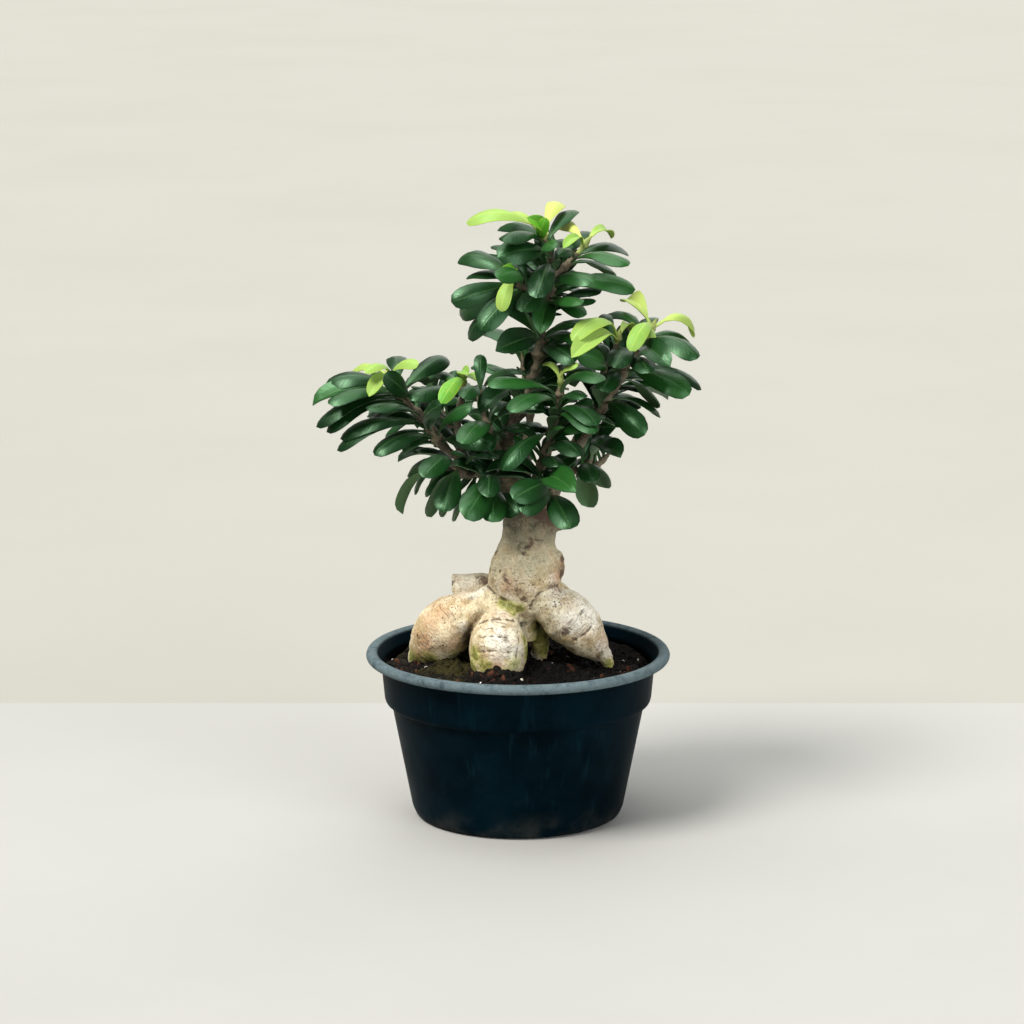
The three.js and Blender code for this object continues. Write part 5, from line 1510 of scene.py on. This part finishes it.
def soil_mesh(rings, sides):
    """A closed body of soil with a lumpy top that rises a little against the roots."""
    edge = soil_edge()
    base = BASE_RADIUS - WALL - SEAT_GAP
    profile = [
        (0, FLOOR + SEAT_GAP), (base, FLOOR + SEAT_GAP),
        (base + BASE_ROUND_WIDTH, BASE_ROUND_HEIGHT + SEAT_GAP),
        (BODY_RADIUS - WALL - SEAT_GAP, COLLAR_FOOT_Z),
        (COLLAR_FOOT_RADIUS - WALL - SEAT_GAP, COLLAR_STEP_Z + SEAT_GAP),
    ]
    profile += [(edge * math.sqrt(1 - i / rings), SOIL_Z) for i in range(rings)]
    mesh = lathe("potting_soil", [*profile, (0, SOIL_Z)], sides)
    roots = surface_of(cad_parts["trunk"].data)
    clear = []
    for vertex in mesh.vertices:
        place = vertex.co
        if place.z < (SOIL_Z - 0.01) * MM:
            clear.append(-1)
            continue
        x, y = place.x / MM, place.y / MM
        lumps = sum(h * noise.noise((x / size, y / size, layer)) for h, size, layer in SOIL_LUMPS)
        place.z = (height_of_soil(x, y) + lumps) * MM
        near, normal = roots.find_nearest(place)[:2]
        away = (place - near).length / MM * (1 if (place - near).dot(normal) > 0 else -1)
        place.z += ROOT_RISE * math.exp(-max(away, 0) / ROOT_RISE_REACH) * MM
        clear.append(away)
    shade_smooth(mesh, 1.3)
    return mesh, np.array(clear)


def make_soil(settings):
    """The potting soil, with how far each of its points is from the roots."""
    mesh, clear = soil_mesh(settings.rings, settings.rings * 3)
    paint(mesh, clear=clear)
    dressed(piece_of("potting_soil", mesh, soil_finish(settings)), "soil", "soil")


def grain_cover(where, places, clear):
    """How thickly grains that lie so are strewn at each place, from 0 to about 1."""
    radius = np.linalg.norm(places[:, :2], axis=1)
    if where == "beside roots":
        return (np.exp(-np.maximum(clear, 0) / BESIDE_ROOTS) + 0.06) * (radius < soil_edge() - 5)
    if where == "in spots":
        apart = np.linalg.norm(places[:, None, :2] - np.array(CHIP_SPOTS)[None], axis=2).min(1)
        return (np.exp(-((apart / CHIP_REACH) ** 2)) + 0.05) * (radius < soil_edge() - 4)
    return np.ones(len(places))


def open_ground(where):
    """A copy of the soil whose points say how thickly grains lie there."""
    mesh = bpy.data.objects["potting_soil"].data.copy()
    places = read_vectors(mesh, "co") / MM
    clear = np.zeros(len(mesh.vertices))
    mesh.attributes["clear"].data.foreach_get("value", clear)
    on_top = places[:, 2] > SOIL_Z - 5
    off_wall = np.linalg.norm(places[:, :2], axis=1) < soil_edge() - 1.6
    bare = on_top & off_wall & (clear > GRAIN_CLEARANCE)
    paint(mesh, open=np.where(bare, grain_cover(where, places, clear), 0))
    return mesh


def make_grains(settings):
    """Crumbs, perlite and bark chips strewn over the soil."""
    tree = scatter_tree()
    crumb = grain_finish("soil crumb", colour(3, 2, 2), colour(22, 15, 11), 0.5, 0.7)
    chip = grain_finish("brown chip", colour(42, 22, 15), colour(88, 52, 34), 0, 0.4)
    perlite = grain_finish("perlite", colour(200, 194, 180), colour(244, 240, 230))
    kinds = {
        "soil_crumbs": (crumb, settings.crumbs),
        "soil_lumps": (crumb, settings.crumbs),
        "perlite_grains": (perlite, settings.perlite),
        "bark_chips": (chip, settings.chips),
    }
    for name, (where, count, smallest, largest, flatness, stretch, fineness, seed) in GRAINS.items():
        material, share = kinds[name]
        values = {
            "Density": count * share, "Smallest": smallest * MM, "Largest": largest * MM,
            "Flatness": flatness, "Stretch": stretch, "Seed": seed, "Detail": fineness,
            "Sink": GRAIN_SINK * MM,
        }
        dressed(tree.grow(name, open_ground(where), Material=material, **values), "soil")


def loft(rows, sides):
    """Points and faces of a closed body round a path of x, y, z and radius."""
    rows = np.array(rows, float)
    spine = rows[:, :3]
    steps = np.gradient(spine, axis=0)
    alongs = steps / np.linalg.norm(steps, axis=1)[:, None]
    across = unit(np.cross(alongs[0], SIDEWAYS if abs(alongs[0][0]) < STEEP else UP))
    points, faces = [], []
    turns = np.arange(sides) / sides * 2 * math.pi
    for (x, y, z, radius), along in zip(rows, alongs):
        across = unit(across - along * (along @ across))
        other = np.cross(along, across)
        ring = np.outer(np.cos(turns), across) + np.outer(np.sin(turns), other)
        points.extend(np.array([x, y, z]) + ring * radius)
    for i in range(len(rows) - 1):
        for j in range(sides):
            a, b = i * sides + j, i * sides + (j + 1) % sides
            faces.append((a, b, b + sides, a + sides))
    faces.append(tuple(reversed(range(sides))))
    faces.append(tuple(range((len(rows) - 1) * sides, len(rows) * sides)))
    return points, faces


def bark_paths():
    """Smooth paths through the roots, the trunk and the limbs, with how thick each is."""
    thin = {name: [[x, y, z, r + LIMB_BARK] for x, y, z, r in rows] for name, rows in LIMBS.items()}
    named = {f"root {name}": rows for name, rows in TUBERS.items()} | {"cut root": CUT_ROOT, "trunk": TRUNK}
    named |= {f"limb {name}": rows for name, rows in thin.items()}
    return {name: smooth_path(rows, PATH_STEP) for name, rows in named.items()}


def bark_body(paths, voxel):
    """One skin over every path and knob, melted together."""
    points, faces = [], []
    sides = [THICK_SIDES if rows[:, 3].max() > THICK_RADIUS else THIN_SIDES for rows in paths.values()]
    bodies = [loft(rows, count) for rows, count in zip(paths.values(), sides)]
    for x, y, z, radius in KNOBS:
        ball = bmesh.new()
        place = Matrix.Translation((x, y, z))
        bmesh.ops.create_icosphere(ball, subdivisions=3, radius=radius, matrix=place)
        corners = [[v.index for v in face.verts] for face in ball.faces]
        bodies.append(([np.array(v.co) for v in ball.verts], corners))
        ball.free()
    for body_points, body_faces in bodies:
        first = len(points)
        points.extend(body_points)
        faces.extend([tuple(first + i for i in face) for face in body_faces])
    mesh = bpy.data.meshes.new("bark_body")
    mesh.from_pydata([tuple(p * MM) for p in points], [], faces)
    holder = linked("bark_body", mesh)
    melt = holder.modifiers.new("melt", "REMESH")
    melt.mode, melt.voxel_size = "VOXEL", voxel
    ease = holder.modifiers.new("ease", "SMOOTH")
    ease.factor, ease.iterations = SKIN_EASE, SKIN_PASSES
    skin = evaluated_mesh(holder)
    bpy.data.objects.remove(holder)
    return skin


def along_paths(places, paths):
    """For each place, how far along the nearest path it is, and which path that is."""
    rows = np.concatenate([path[:, :3] for path in paths.values()])
    radii = np.concatenate([path[:, 3] for path in paths.values()])
    owner = np.concatenate([np.full(len(path), i) for i, path in enumerate(paths.values())])
    lengths = [np.linalg.norm(np.diff(path[:, :3], axis=0), axis=1) for path in paths.values()]
    reaches = np.concatenate([np.concatenate([[0], np.cumsum(steps)]) for steps in lengths])
    tree = search_tree(rows)
    reach, nearest = np.zeros(len(places)), np.zeros(len(places), int)
    for i, place in enumerate(places):
        found = min(tree.find_n(place, 5), key=lambda hit: hit[2] - radii[hit[1]])[1]
        toward = unit(rows[min(found + 1, len(rows) - 1)] - rows[max(found - 1, 0)])
        reach[i] = reaches[found] + (place - rows[found]) @ toward + owner[found] * RING_SHIFT
        nearest[i] = owner[found]
    return reach, nearest


def spread(places, spots, surface):
    """A mask from spots of pixel x and y, radius and strength, where they meet the surface."""
    mask = np.zeros(len(places))
    for x, y, radius, strength in spots:
        centre = seen_place(surface, x, y)
        if centre is not None:
            away = np.linalg.norm(places - centre, axis=1) / radius
            mask = np.maximum(mask, strength * np.exp(-(away**2)))
    return mask


def wrinkles(places, surface):
    """How deep each place lies in a wrinkle of the photograph, in millimetres, and how much painted shade
    darkens it.
    """
    depth, shade = np.zeros(len(places)), np.zeros(len(places))
    broken = np.array([0.55 + 0.9 * noise.noise(Vector(place) / WRINKLE_BREAK) for place in places])
    for deep, width, corners in WRINKLES:
        line = []
        for (x, y), (next_x, next_y) in zip(corners, corners[1:]):
            count = max(2, round(math.hypot(next_x - x, next_y - y)))
            for t in np.arange(count) / count:
                line.append(seen_place(surface, x + (next_x - x) * t, y + (next_y - y) * t))
        line = [spot for spot in line if spot is not None]
        if line:
            away = np.linalg.norm(places[:, None] - np.array(line)[None], axis=2).min(1)
            sunk = deep * np.exp(-((away / width) ** 2))
            # Painted shade along the wrinkle
            dark = min(0.9, 0.5 + deep * 0.3) * np.exp(-((away / width / 0.8) ** 2))
            depth = np.maximum(depth, sunk * np.clip(broken + 0.3, 0, 1))
            shade = np.maximum(shade, dark * np.clip(broken + 0.2, 0, 1))
    return depth, shade


def blotches(places, size, low, high, seed):
    """A soft mask of natural patches."""
    values = np.array([noise.noise(Vector(place) / size + Vector((seed, 0, 0))) for place in places])
    return np.clip((values - low) / (high - low), 0, 1)


def crevice_shade(places, normals, surface):
    """A mask of painted shade in the folds between swellings: the share of short rays outwards that meet
    bark again.
    """
    turns = np.arange(RAY_COUNT) * RAY_TURN
    fan = [Vector((math.cos(a) * tilt, math.sin(a) * tilt, 1)) for tilt in RAY_TILTS for a in turns]
    mask = np.zeros(len(places))
    for i, (place, normal) in enumerate(zip(places, normals)):
        outward = Vector(normal)
        turn = outward.to_track_quat("Z", "Y")
        start = (Vector(place) + outward * RAY_LIFT) * MM
        met = sum(surface.ray_cast(start, turn @ ray, CREVICE_REACH * MM)[0] is not None for ray in fan)
        mask[i] = met / len(fan)
    return np.clip((mask - 0.12) / 0.6, 0, 1)


def layered(spot, layers):
    """A sum of noises at a place, each of its height, size and shift."""
    return sum(h * noise.noise(spot / size + Vector((shift, 0, 0))) for h, size, shift in layers)


def swellings(places, reach, on_root, on_limb):
    """How far lumps and grain push each place out and grooves draw it in, as shares of the relief."""
    swell = np.zeros(len(places))
    for i, place in enumerate(places):
        spot = Vector(place)
        lumps, grain = layered(spot, BARK_LUMPS), layered(spot, BARK_GRAIN)
        ring = noise.noise((reach[i] / GROOVE_SPACING, place[0] / GROOVE_DRIFT, place[1] / GROOVE_DRIFT))
        groove = -GROOVE_DEPTH * max(0, 1 - abs(ring) / GROOVE_WIDTH)
        groove *= 1 if on_root[i] else FAINT_GROOVES
        groove *= abs(noise.noise(spot / GROOVE_BREAK))
        swell[i] = lumps * (LIMB_LUMPS if on_limb[i] else 1) + grain + groove * GROOVE_STRENGTH
    return swell


def scarred(places, surface):
    """How far the scar's lip pushes each place out and its pit draws it in."""
    scar = seen_place(surface, *SCAR_SPOT)
    if scar is None:
        return 0
    away = np.linalg.norm(places - scar, axis=1)
    lip = SCAR_LIP[0] * np.exp(-(((away - SCAR_RADIUS) / SCAR_LIP[1]) ** 2))
    return lip - SCAR_PIT[0] * np.exp(-((away / SCAR_PIT[1]) ** 2))


def above(height, start, rise, most):
    """0 below a height, then growing over a rise to the most."""
    return np.clip((height - start) / rise, 0, most)


def grown_marks(places, on_root, on_limb):
    """The part of each mask that follows the plant, for the sides that the photograph doesn't show."""
    height = places[:, 2]
    behind = np.clip(places[:, 1] / 12, 0, 1)
    near_soil = np.clip(1 - (height - SOIL_Z) / SOIL_STAIN, 0, 1)
    patches = {name: blotches(places, *rule) for name, rule in BLOTCHES.items()}
    # Painted shade under the crown, on the neck and the high limbs
    shaded_limbs = np.where(on_limb, above(height, *LIMB_SHADE), 0)
    return {
        "dark": np.maximum(above(height, *NECK_SHADE) * ~on_root, shaded_limbs),
        "warm": patches["warm"] * 0.6 * behind,
        "pale": patches["pale"] * 0.7 * on_root,
        "stain": patches["stain"] * 0.8 * behind,
        "moss": near_soil * patches["moss"] * 0.75,
        "freckle": np.clip(patches["freckle"] + (height < LOW_BARK) * 0.1, 0, 0.8),
    }


def make_trunk(settings):
    """The bark's skin with its lumps, grooves, scar and wrinkles, and the masks of its marks, its painted
    shade and its painted highlight.
    """
    paths = bark_paths()
    mesh = bark_body(paths, settings.skin_cell)
    places, normals = read_vectors(mesh, "co") / MM, read_vectors(mesh, "normal")
    reach, owner = along_paths(places, paths)
    names = list(paths)
    on_root = np.array([names[i].startswith("root") for i in owner])
    on_limb = np.array([names[i].startswith("limb") for i in owner])
    surface = surface_of(mesh)
    # Wrinkles sink the skin, and their mask holds the painted shade in them
    sunk, wrinkle_shade_mask = wrinkles(places, surface)
    depth = settings.relief / MM
    swell = swellings(places, reach, on_root, on_limb) + scarred(places, surface) - sunk / depth
    moved = (places + normals * (swell * depth)[:, None]) * MM
    mesh.vertices.foreach_set("co", moved.ravel())
    mesh.update()
    shade_smooth(mesh, 1.4)
    grown = grown_marks(places, on_root, on_limb)
    shown = np.where(owner == names.index("cut root"), 0.3, 1)
    # Painted shade in the folds between swellings, fainter on the cut root
    grown["hollow_shade"] = crevice_shade(places, normals, surface) * shown
    grey = above(places[:, 2], *GREY_BARK) * ~on_root
    paint(
        mesh,
        reach=reach * MM,
        grey=np.maximum(grey, np.where(on_limb, 0.8, 0)),
        ringed=np.where(on_root, 1, np.where(on_limb, 0.55, 0.35)),
        cracked=wrinkle_shade_mask,
        **{
            name: np.maximum(spread(places, BARK_SPOTS[name], surface), mask)
            for name, mask in grown.items()
        },
    )
    dressed(piece_of("trunk_and_roots", mesh, bark_finish(settings)), "bark", "trunk")


def twig_rows(stem):
    """Points and radii of a twig, with a swelling at each leaf and a bud at a free end."""
    path = np.array(stem["path"], float)
    thick, thin = stem["radii"]
    lengths = np.concatenate([[0], np.cumsum(np.linalg.norm(np.diff(path, axis=0), axis=1))])
    radii = thick + (thin - thick) * lengths / lengths[-1]
    back = path[0] - unit(path[1] - path[0]) * TWIG_TAIL
    rows = smooth_path(np.column_stack([np.vstack([back, path]), [thick, *radii]]), TWIG_STEP)
    for leaf in stem["blades"]:
        away = np.linalg.norm(rows[:, :3] - leaf.root, axis=1)
        rows[:, 3] += NODE_SWELLING * thin * np.exp(-((away / NODE_REACH) ** 2))
    end, along = rows[-1], unit(rows[-1, :3] - rows[-3, :3])
    bud = [[*(end[:3] + along * run), end[3] * part] for run, part in BUD_SHAPE]
    return np.vstack([rows, bud])


def make_twigs(settings):
    """All twigs in two pieces, the bark-covered and the green."""
    bark = twig_finish("twig bark", colour(66, 58, 44), colour(112, 102, 80), colour(150, 140, 116))
    green = twig_finish("young twig", colour(112, 128, 62), colour(168, 178, 100), colour(200, 204, 150))
    tree = sweep_tree()
    kinds = (("twigs", False, "bark", bark), ("shoot_twigs", True, "young_leaf", green))
    for name, young, slot, material in kinds:
        stems = [stem for stem in plant() if stem["young"] == young]
        points, edges, radii = [], [], []
        for stem in stems:
            rows = twig_rows(stem)
            edges += [(len(points) + i, len(points) + i + 1) for i in range(len(rows) - 1)]
            points.extend(rows[:, :3] * MM)
            radii.extend(rows[:, 3] * MM)
        seeds = seed_mesh(name, points, edges, radius=radii)
        values = {"Sides": settings.twig_sides, "Knobbliness": TWIG_RELIEF * MM, "Material": material}
        dressed(tree.grow(name, seeds, **values), slot, *[stem["name"] for stem in stems])


def make_leaves(settings):
    """A piece of leaves for each stem, every leaf where its solid is."""
    old = leaf_finish(
        "fig leaf", (settings.leaf, settings.leaf_middle, settings.leaf_light),
        settings.vein, settings.rim, settings.back, settings.dullness, 0.5,
    )
    young = leaf_finish(
        "young fig leaf", (settings.young, settings.young_middle, settings.young_light),
        settings.young_vein, settings.young_rim, settings.young_back, settings.dullness + 0.1, 0.3,
    )
    tree = blade_tree()
    draws = np.random.default_rng(LEAF_SEED)
    for stem in plant():
        leaves = stem["blades"]
        count = len(leaves)
        draw = draws.uniform(size=(count, 6))
        fresh = stem["young"]
        look = FRESH_LEAF if fresh else OLD_LEAF
        frontward = np.array([leaf.side[1] for leaf in leaves])
        folded = draw[:, 3] < look["folded"]
        seeds = seed_mesh(
            stem["name"] + "_leaves",
            [leaf.root * MM for leaf in leaves],
            root=[leaf.root * MM for leaf in leaves],
            along=[leaf.along for leaf in leaves],
            side=[leaf.side for leaf in leaves],
            normal=[leaf.normal for leaf in leaves],
            length=[leaf.length * MM for leaf in leaves],
            width=[
                LEAF_HALF_WIDTH * leaf.size * (look["width"] + WIDTH_SPREAD * d) * MM
                for leaf, d in zip(leaves, draw[:, 0])
            ],
            arch=settings.arch * look["arch"] * (0.75 + 0.5 * draw[:, 1]),
            twist=settings.twist * (draw[:, 2] * 2 - 1) + look["swing"] * frontward,
            fold=np.where(folded, CLOSED_FOLD, OPEN_FOLD),
            bow=np.where(folded, CLOSED_BOW, settings.bow * (0.6 + 0.8 * draw[:, 3])),
            wave=settings.ripple * (0.4 + draw[:, 4]),
            phase=draw[:, 4],
            tone=[
                t * TONE_SHARE if leaf.tone is None else leaf.tone
                for leaf, t in zip(leaves, draw[:, 5])
            ],
        )
        values = {
            "Thickness": settings.thickness * look["thickness"], "Sections": settings.sections,
            "Material": young if fresh else old,
        }
        piece = tree.grow(stem["name"] + "_leaves", seeds, **values)
        dressed(piece, "young_leaf" if fresh else "leaf", stem["name"])


def stage_plane(name, front, back, material):
    """A flat strip of the stage from one y to another."""
    mesh = bpy.data.meshes.new(name)
    left, right = -FLOOR_REACH, FLOOR_REACH
    corners = [(left, front, 0), (right, front, 0), (right, back, 0), (left, back, 0)]
    mesh.from_pydata(corners, [], [(0, 1, 2, 3)])
    plane = piece_of(name, mesh, material)


def lamp(name, place, spread_angle, strength, hue):
    """A lamp of even light, shining from a place to the middle of the plant."""
    light = bpy.data.lights.new(name, "SUN")
    light.angle, light.energy, light.color = spread_angle, strength, hue
    holder = linked(name, light)
    holder.location = place
    holder.rotation_euler = (Vector(LAMP_AIM) - Vector(place)).to_track_quat("-Z", "Y").to_euler()


def make_stage(settings):
    """A pale floor with a seam behind the pot, soft lamps and the camera."""
    near = plaster_finish("near floor", settings.floor, settings.floor_shade)
    far = plaster_finish("far floor", settings.far_floor, settings.far_floor_shade)
    stage_plane("near_floor", -FLOOR_REACH, settings.seam, near)
    stage_plane("far_floor", settings.seam, FLOOR_REACH, far)
    for name, place, degrees, share, hue in LAMPS:
        lamp(name, place, math.radians(degrees), settings.light * share, hue)
    bpy.context.scene.view_settings.view_transform = "Standard"
    world = bpy.context.scene.world or bpy.data.worlds.new("studio")
    bpy.context.scene.world = world
    world.use_nodes = True
    sky = world.node_tree.nodes["Background"].inputs
    sky["Color"].default_value = settings.sky
    sky["Strength"].default_value = settings.sky_strength
    eye = bpy.data.cameras.new("camera")
    eye.lens, eye.sensor_width, eye.clip_end = LENS, SENSOR, FAR_CLIP
    camera = linked("camera", eye)
    camera.location = tuple(EYE * MM)
    camera.rotation_euler = (math.pi / 2 - PITCH, 0, 0)
    bpy.context.scene.camera = camera


# Settings
def amount(label, default, least, most, note, unit="NONE"):
    """A number with its limits."""
    return FloatProperty(name=label, description=note, default=default, min=least, max=most, unit=unit)


def whole(label, default, least, most, note):
    """A whole number with its limits."""
    return IntProperty(name=label, description=note, default=default, min=least, max=most)


def tint(label, red, green, blue, note):
    """A colour, its default given in sRGB numbers of 0 to 255."""
    default = colour(red, green, blue)
    return FloatVectorProperty(
        name=label, description=note, subtype="COLOR", size=4, min=0, max=1, default=default,
    )


class PotSettings(bpy.types.PropertyGroup):
    """Sizes and colours of the nursery pot."""

    sides: whole("Sides", 160, 48, 256, "Facets round the pot")
    dullness: amount("Dullness", 0.72, 0, 1, "0 for wet gloss, 1 for chalk")
    body: tint("Body", 2, 19, 27, "Wall colour, mid")
    body_shade: tint("Body shade", 0, 10, 16, "Wall colour, dark")
    lip: tint("Lip", 88, 102, 106, "Colour of the worn lip")


class SoilSettings(bpy.types.PropertyGroup):
    """How rough the soil is and what lies on it."""

    rings: whole("Rings", 64, 24, 96, "Rings of the soil's surface")
    crumbs: amount("Crumbs", 1, 0, 2, "How thickly crumbs lie")
    perlite: amount("Perlite", 1, 0, 4, "How thickly white grains lie")
    chips: amount("Chips", 1, 0, 4, "How thickly brown chips lie")
    soil: tint("Soil", 12, 8, 6, "Colour of the damp mix")


class BarkSettings(bpy.types.PropertyGroup):
    """Skin of the trunk, its roots and its limbs."""

    skin_cell: amount("Skin cell", 0.00095, 0.0007, 0.004, "Fineness of the skin", "LENGTH")
    relief: amount("Relief", 0.0008, 0, 0.002, "Height of the bark's lumps", "LENGTH")
    bark: tint("Bark", 194, 172, 128, "Main tone")
    bark_light: tint("Light bark", 242, 230, 194, "Lighter patches")
    bark_grey: tint("Grey bark", 186, 178, 148, "Upper trunk and limbs")
    # Pale bark, and a painted highlight where the roots' tops are lit
    bark_pale: tint("Pale bark", 254, 250, 236, "Bleached flanks")
    bark_warm: tint("Warm bark", 192, 134, 88, "Orange patches")
    # Painted shade under the crown
    bark_crown_shade: tint("Dark bark", 48, 52, 34, "Neck and limbs")
    stain: tint("Stain", 74, 48, 30, "Dark marks")
    freckles: tint("Freckles", 82, 62, 42, "Small specks")


class LeafSettings(bpy.types.PropertyGroup):
    """Shape and colour of the leaves, and the twigs that carry them."""

    sections: whole("Sections", 10, 6, 14, "Sections along a leaf")
    twig_sides: whole("Twig sides", 9, 6, 16, "Facets round a twig")
    thickness: amount("Thickness", 0.0006, 0.0003, 0.002, "Of a blade", "LENGTH")
    arch: amount("Arch", 0.13, 0, 0.3, "Rise of the midrib over its length")
    bow: amount("Bow", 0.42, 0, 1, "Fall of a blade's edges")
    twist: amount("Twist", 0.2, 0, 1.5, "Turn of the tip", "ROTATION")
    ripple: amount("Ripple", 0.1, 0, 0.4, "Wave of the edges")
    dullness: amount("Dullness", 0.24, 0, 1, "0 for wet gloss, 1 for chalk")
    leaf: tint("Leaf", 7, 32, 10, "Darkest old leaves")
    leaf_middle: tint("Middle leaf", 14, 48, 16, "Most old leaves")
    leaf_light: tint("Light leaf", 30, 78, 24, "Lightest old leaves")
    vein: tint("Vein", 84, 122, 72, "Midribs and edges")
    # Painted shade along the edges of old leaves
    rim: tint("Leaf rim", 6, 24, 10, "Edges of old leaves")
    back: tint("Leaf back", 84, 112, 76, "Underside of an old leaf")
    young: tint("Young leaf", 76, 146, 30, "Greenest new leaves")
    young_middle: tint("Middle young leaf", 134, 166, 78, "Most new leaves")
    young_light: tint("Light young leaf", 178, 184, 98, "Newest leaves")
    young_vein: tint("Young vein", 204, 220, 122, "Midribs of new leaves")
    young_rim: tint("Young rim", 150, 176, 66, "Edges of new leaves")
    young_back: tint("Young back", 168, 192, 92, "Underside of a new leaf")


class StageSettings(bpy.types.PropertyGroup):
    """Floor and light."""

    seam: amount("Seam", 0.25, 0.1, 5, "From the pot's axis back to the floor's seam", "LENGTH")
    light: amount("Light", 8.7, 0, 40, "All the lamps together")
    sky_strength: amount("Ambient", 0.22, 0, 4, "Even light from all round")
    sky: tint("Sky", 244, 242, 236, "Tint of the even light")
    floor: tint("Near floor", 161, 161, 158, "Floor tone before the seam")
    floor_shade: tint("Near floor shade", 154, 154, 150, "Its mottle")
    far_floor: tint("Far floor", 155, 154, 147, "Floor tone behind the seam")
    far_floor_shade: tint("Far floor shade", 150, 149, 141, "Its mottle")


# Operators
class BuildPot(bpy.types.Operator):
    """Turns the nursery pot over its solid."""

    bl_idname = "bonsai.pot"
    bl_label = "Nursery pot"

    def execute(self, context):
        make_pot(context.scene.bonsai_pot)
        return {"FINISHED"}


class BuildTrunk(bpy.types.Operator):
    """Grows the trunk, the root swellings and the bare limbs."""

    bl_idname = "bonsai.trunk"
    bl_label = "Trunk and roots"

    def execute(self, context):
        make_trunk(context.scene.bonsai_bark)
        return {"FINISHED"}


class BuildSoil(bpy.types.Operator):
    """Fills the pot with soil up to the roots."""

    bl_idname = "bonsai.soil"
    bl_label = "Potting soil"

    def execute(self, context):
        make_soil(context.scene.bonsai_soil)
        return {"FINISHED"}


class BuildGrains(bpy.types.Operator):
    """Strews crumbs, perlite and bark chips on the soil."""

    bl_idname = "bonsai.grains"
    bl_label = "Crumbs and chips"

    def execute(self, context):
        make_grains(context.scene.bonsai_soil)
        return {"FINISHED"}


class BuildTwigs(bpy.types.Operator):
    """Runs the twigs and the green shoots along their paths."""

    bl_idname = "bonsai.twigs"
    bl_label = "Twigs"

    def execute(self, context):
        make_twigs(context.scene.bonsai_leaf)
        return {"FINISHED"}


class BuildLeaves(bpy.types.Operator):
    """Grows the leaves of every stem."""

    bl_idname = "bonsai.leaves"
    bl_label = "Leaves"

    def execute(self, context):
        make_leaves(context.scene.bonsai_leaf)
        return {"FINISHED"}


class BuildStage(bpy.types.Operator):
    """Sets the floor, the lamps and the camera."""

    bl_idname = "bonsai.stage"
    bl_label = "Stage"

    def execute(self, context):
        make_stage(context.scene.bonsai_stage)
        return {"FINISHED"}


BUILDERS = (BuildPot, BuildTrunk, BuildSoil, BuildGrains, BuildTwigs, BuildLeaves, BuildStage)
SETTINGS = {
    "bonsai_pot": PotSettings, "bonsai_soil": SoilSettings, "bonsai_bark": BarkSettings,
    "bonsai_leaf": LeafSettings, "bonsai_stage": StageSettings,
}


class BonsaiPanel(bpy.types.Panel):
    """Buttons for every group of pieces, with their sizes and colours under them."""

    bl_idname = "VIEW3D_PT_bonsai"
    bl_label = "Potted bonsai"
    bl_space_type = "VIEW_3D"
    bl_region_type = "UI"
    bl_category = "Bonsai"

    def draw(self, context):
        for builder in BUILDERS:
            self.layout.operator(builder.bl_idname)
        for name, kind in SETTINGS.items():
            box = self.layout.box()
            for label in kind.__annotations__:
                box.prop(getattr(context.scene, name), label)


CLASSES = (*SETTINGS.values(), *BUILDERS, BonsaiPanel)


def register():
    """Adds the settings, operators and panel."""
    for kind in CLASSES:
        bpy.utils.register_class(kind)
    for name, kind in SETTINGS.items():
        setattr(bpy.types.Scene, name, PointerProperty(type=kind))


def unregister():
    """Takes them away again."""
    for name in SETTINGS:
        delattr(bpy.types.Scene, name)
    for kind in reversed(CLASSES):
        bpy.utils.unregister_class(kind)


def main():
    """Builds every piece in order."""
    register()
    for build in (
        bpy.ops.bonsai.pot, bpy.ops.bonsai.trunk, bpy.ops.bonsai.soil, bpy.ops.bonsai.grains,
        bpy.ops.bonsai.twigs, bpy.ops.bonsai.leaves, bpy.ops.bonsai.stage,
    ):
        build()


if __name__ == "__main__":
    main()
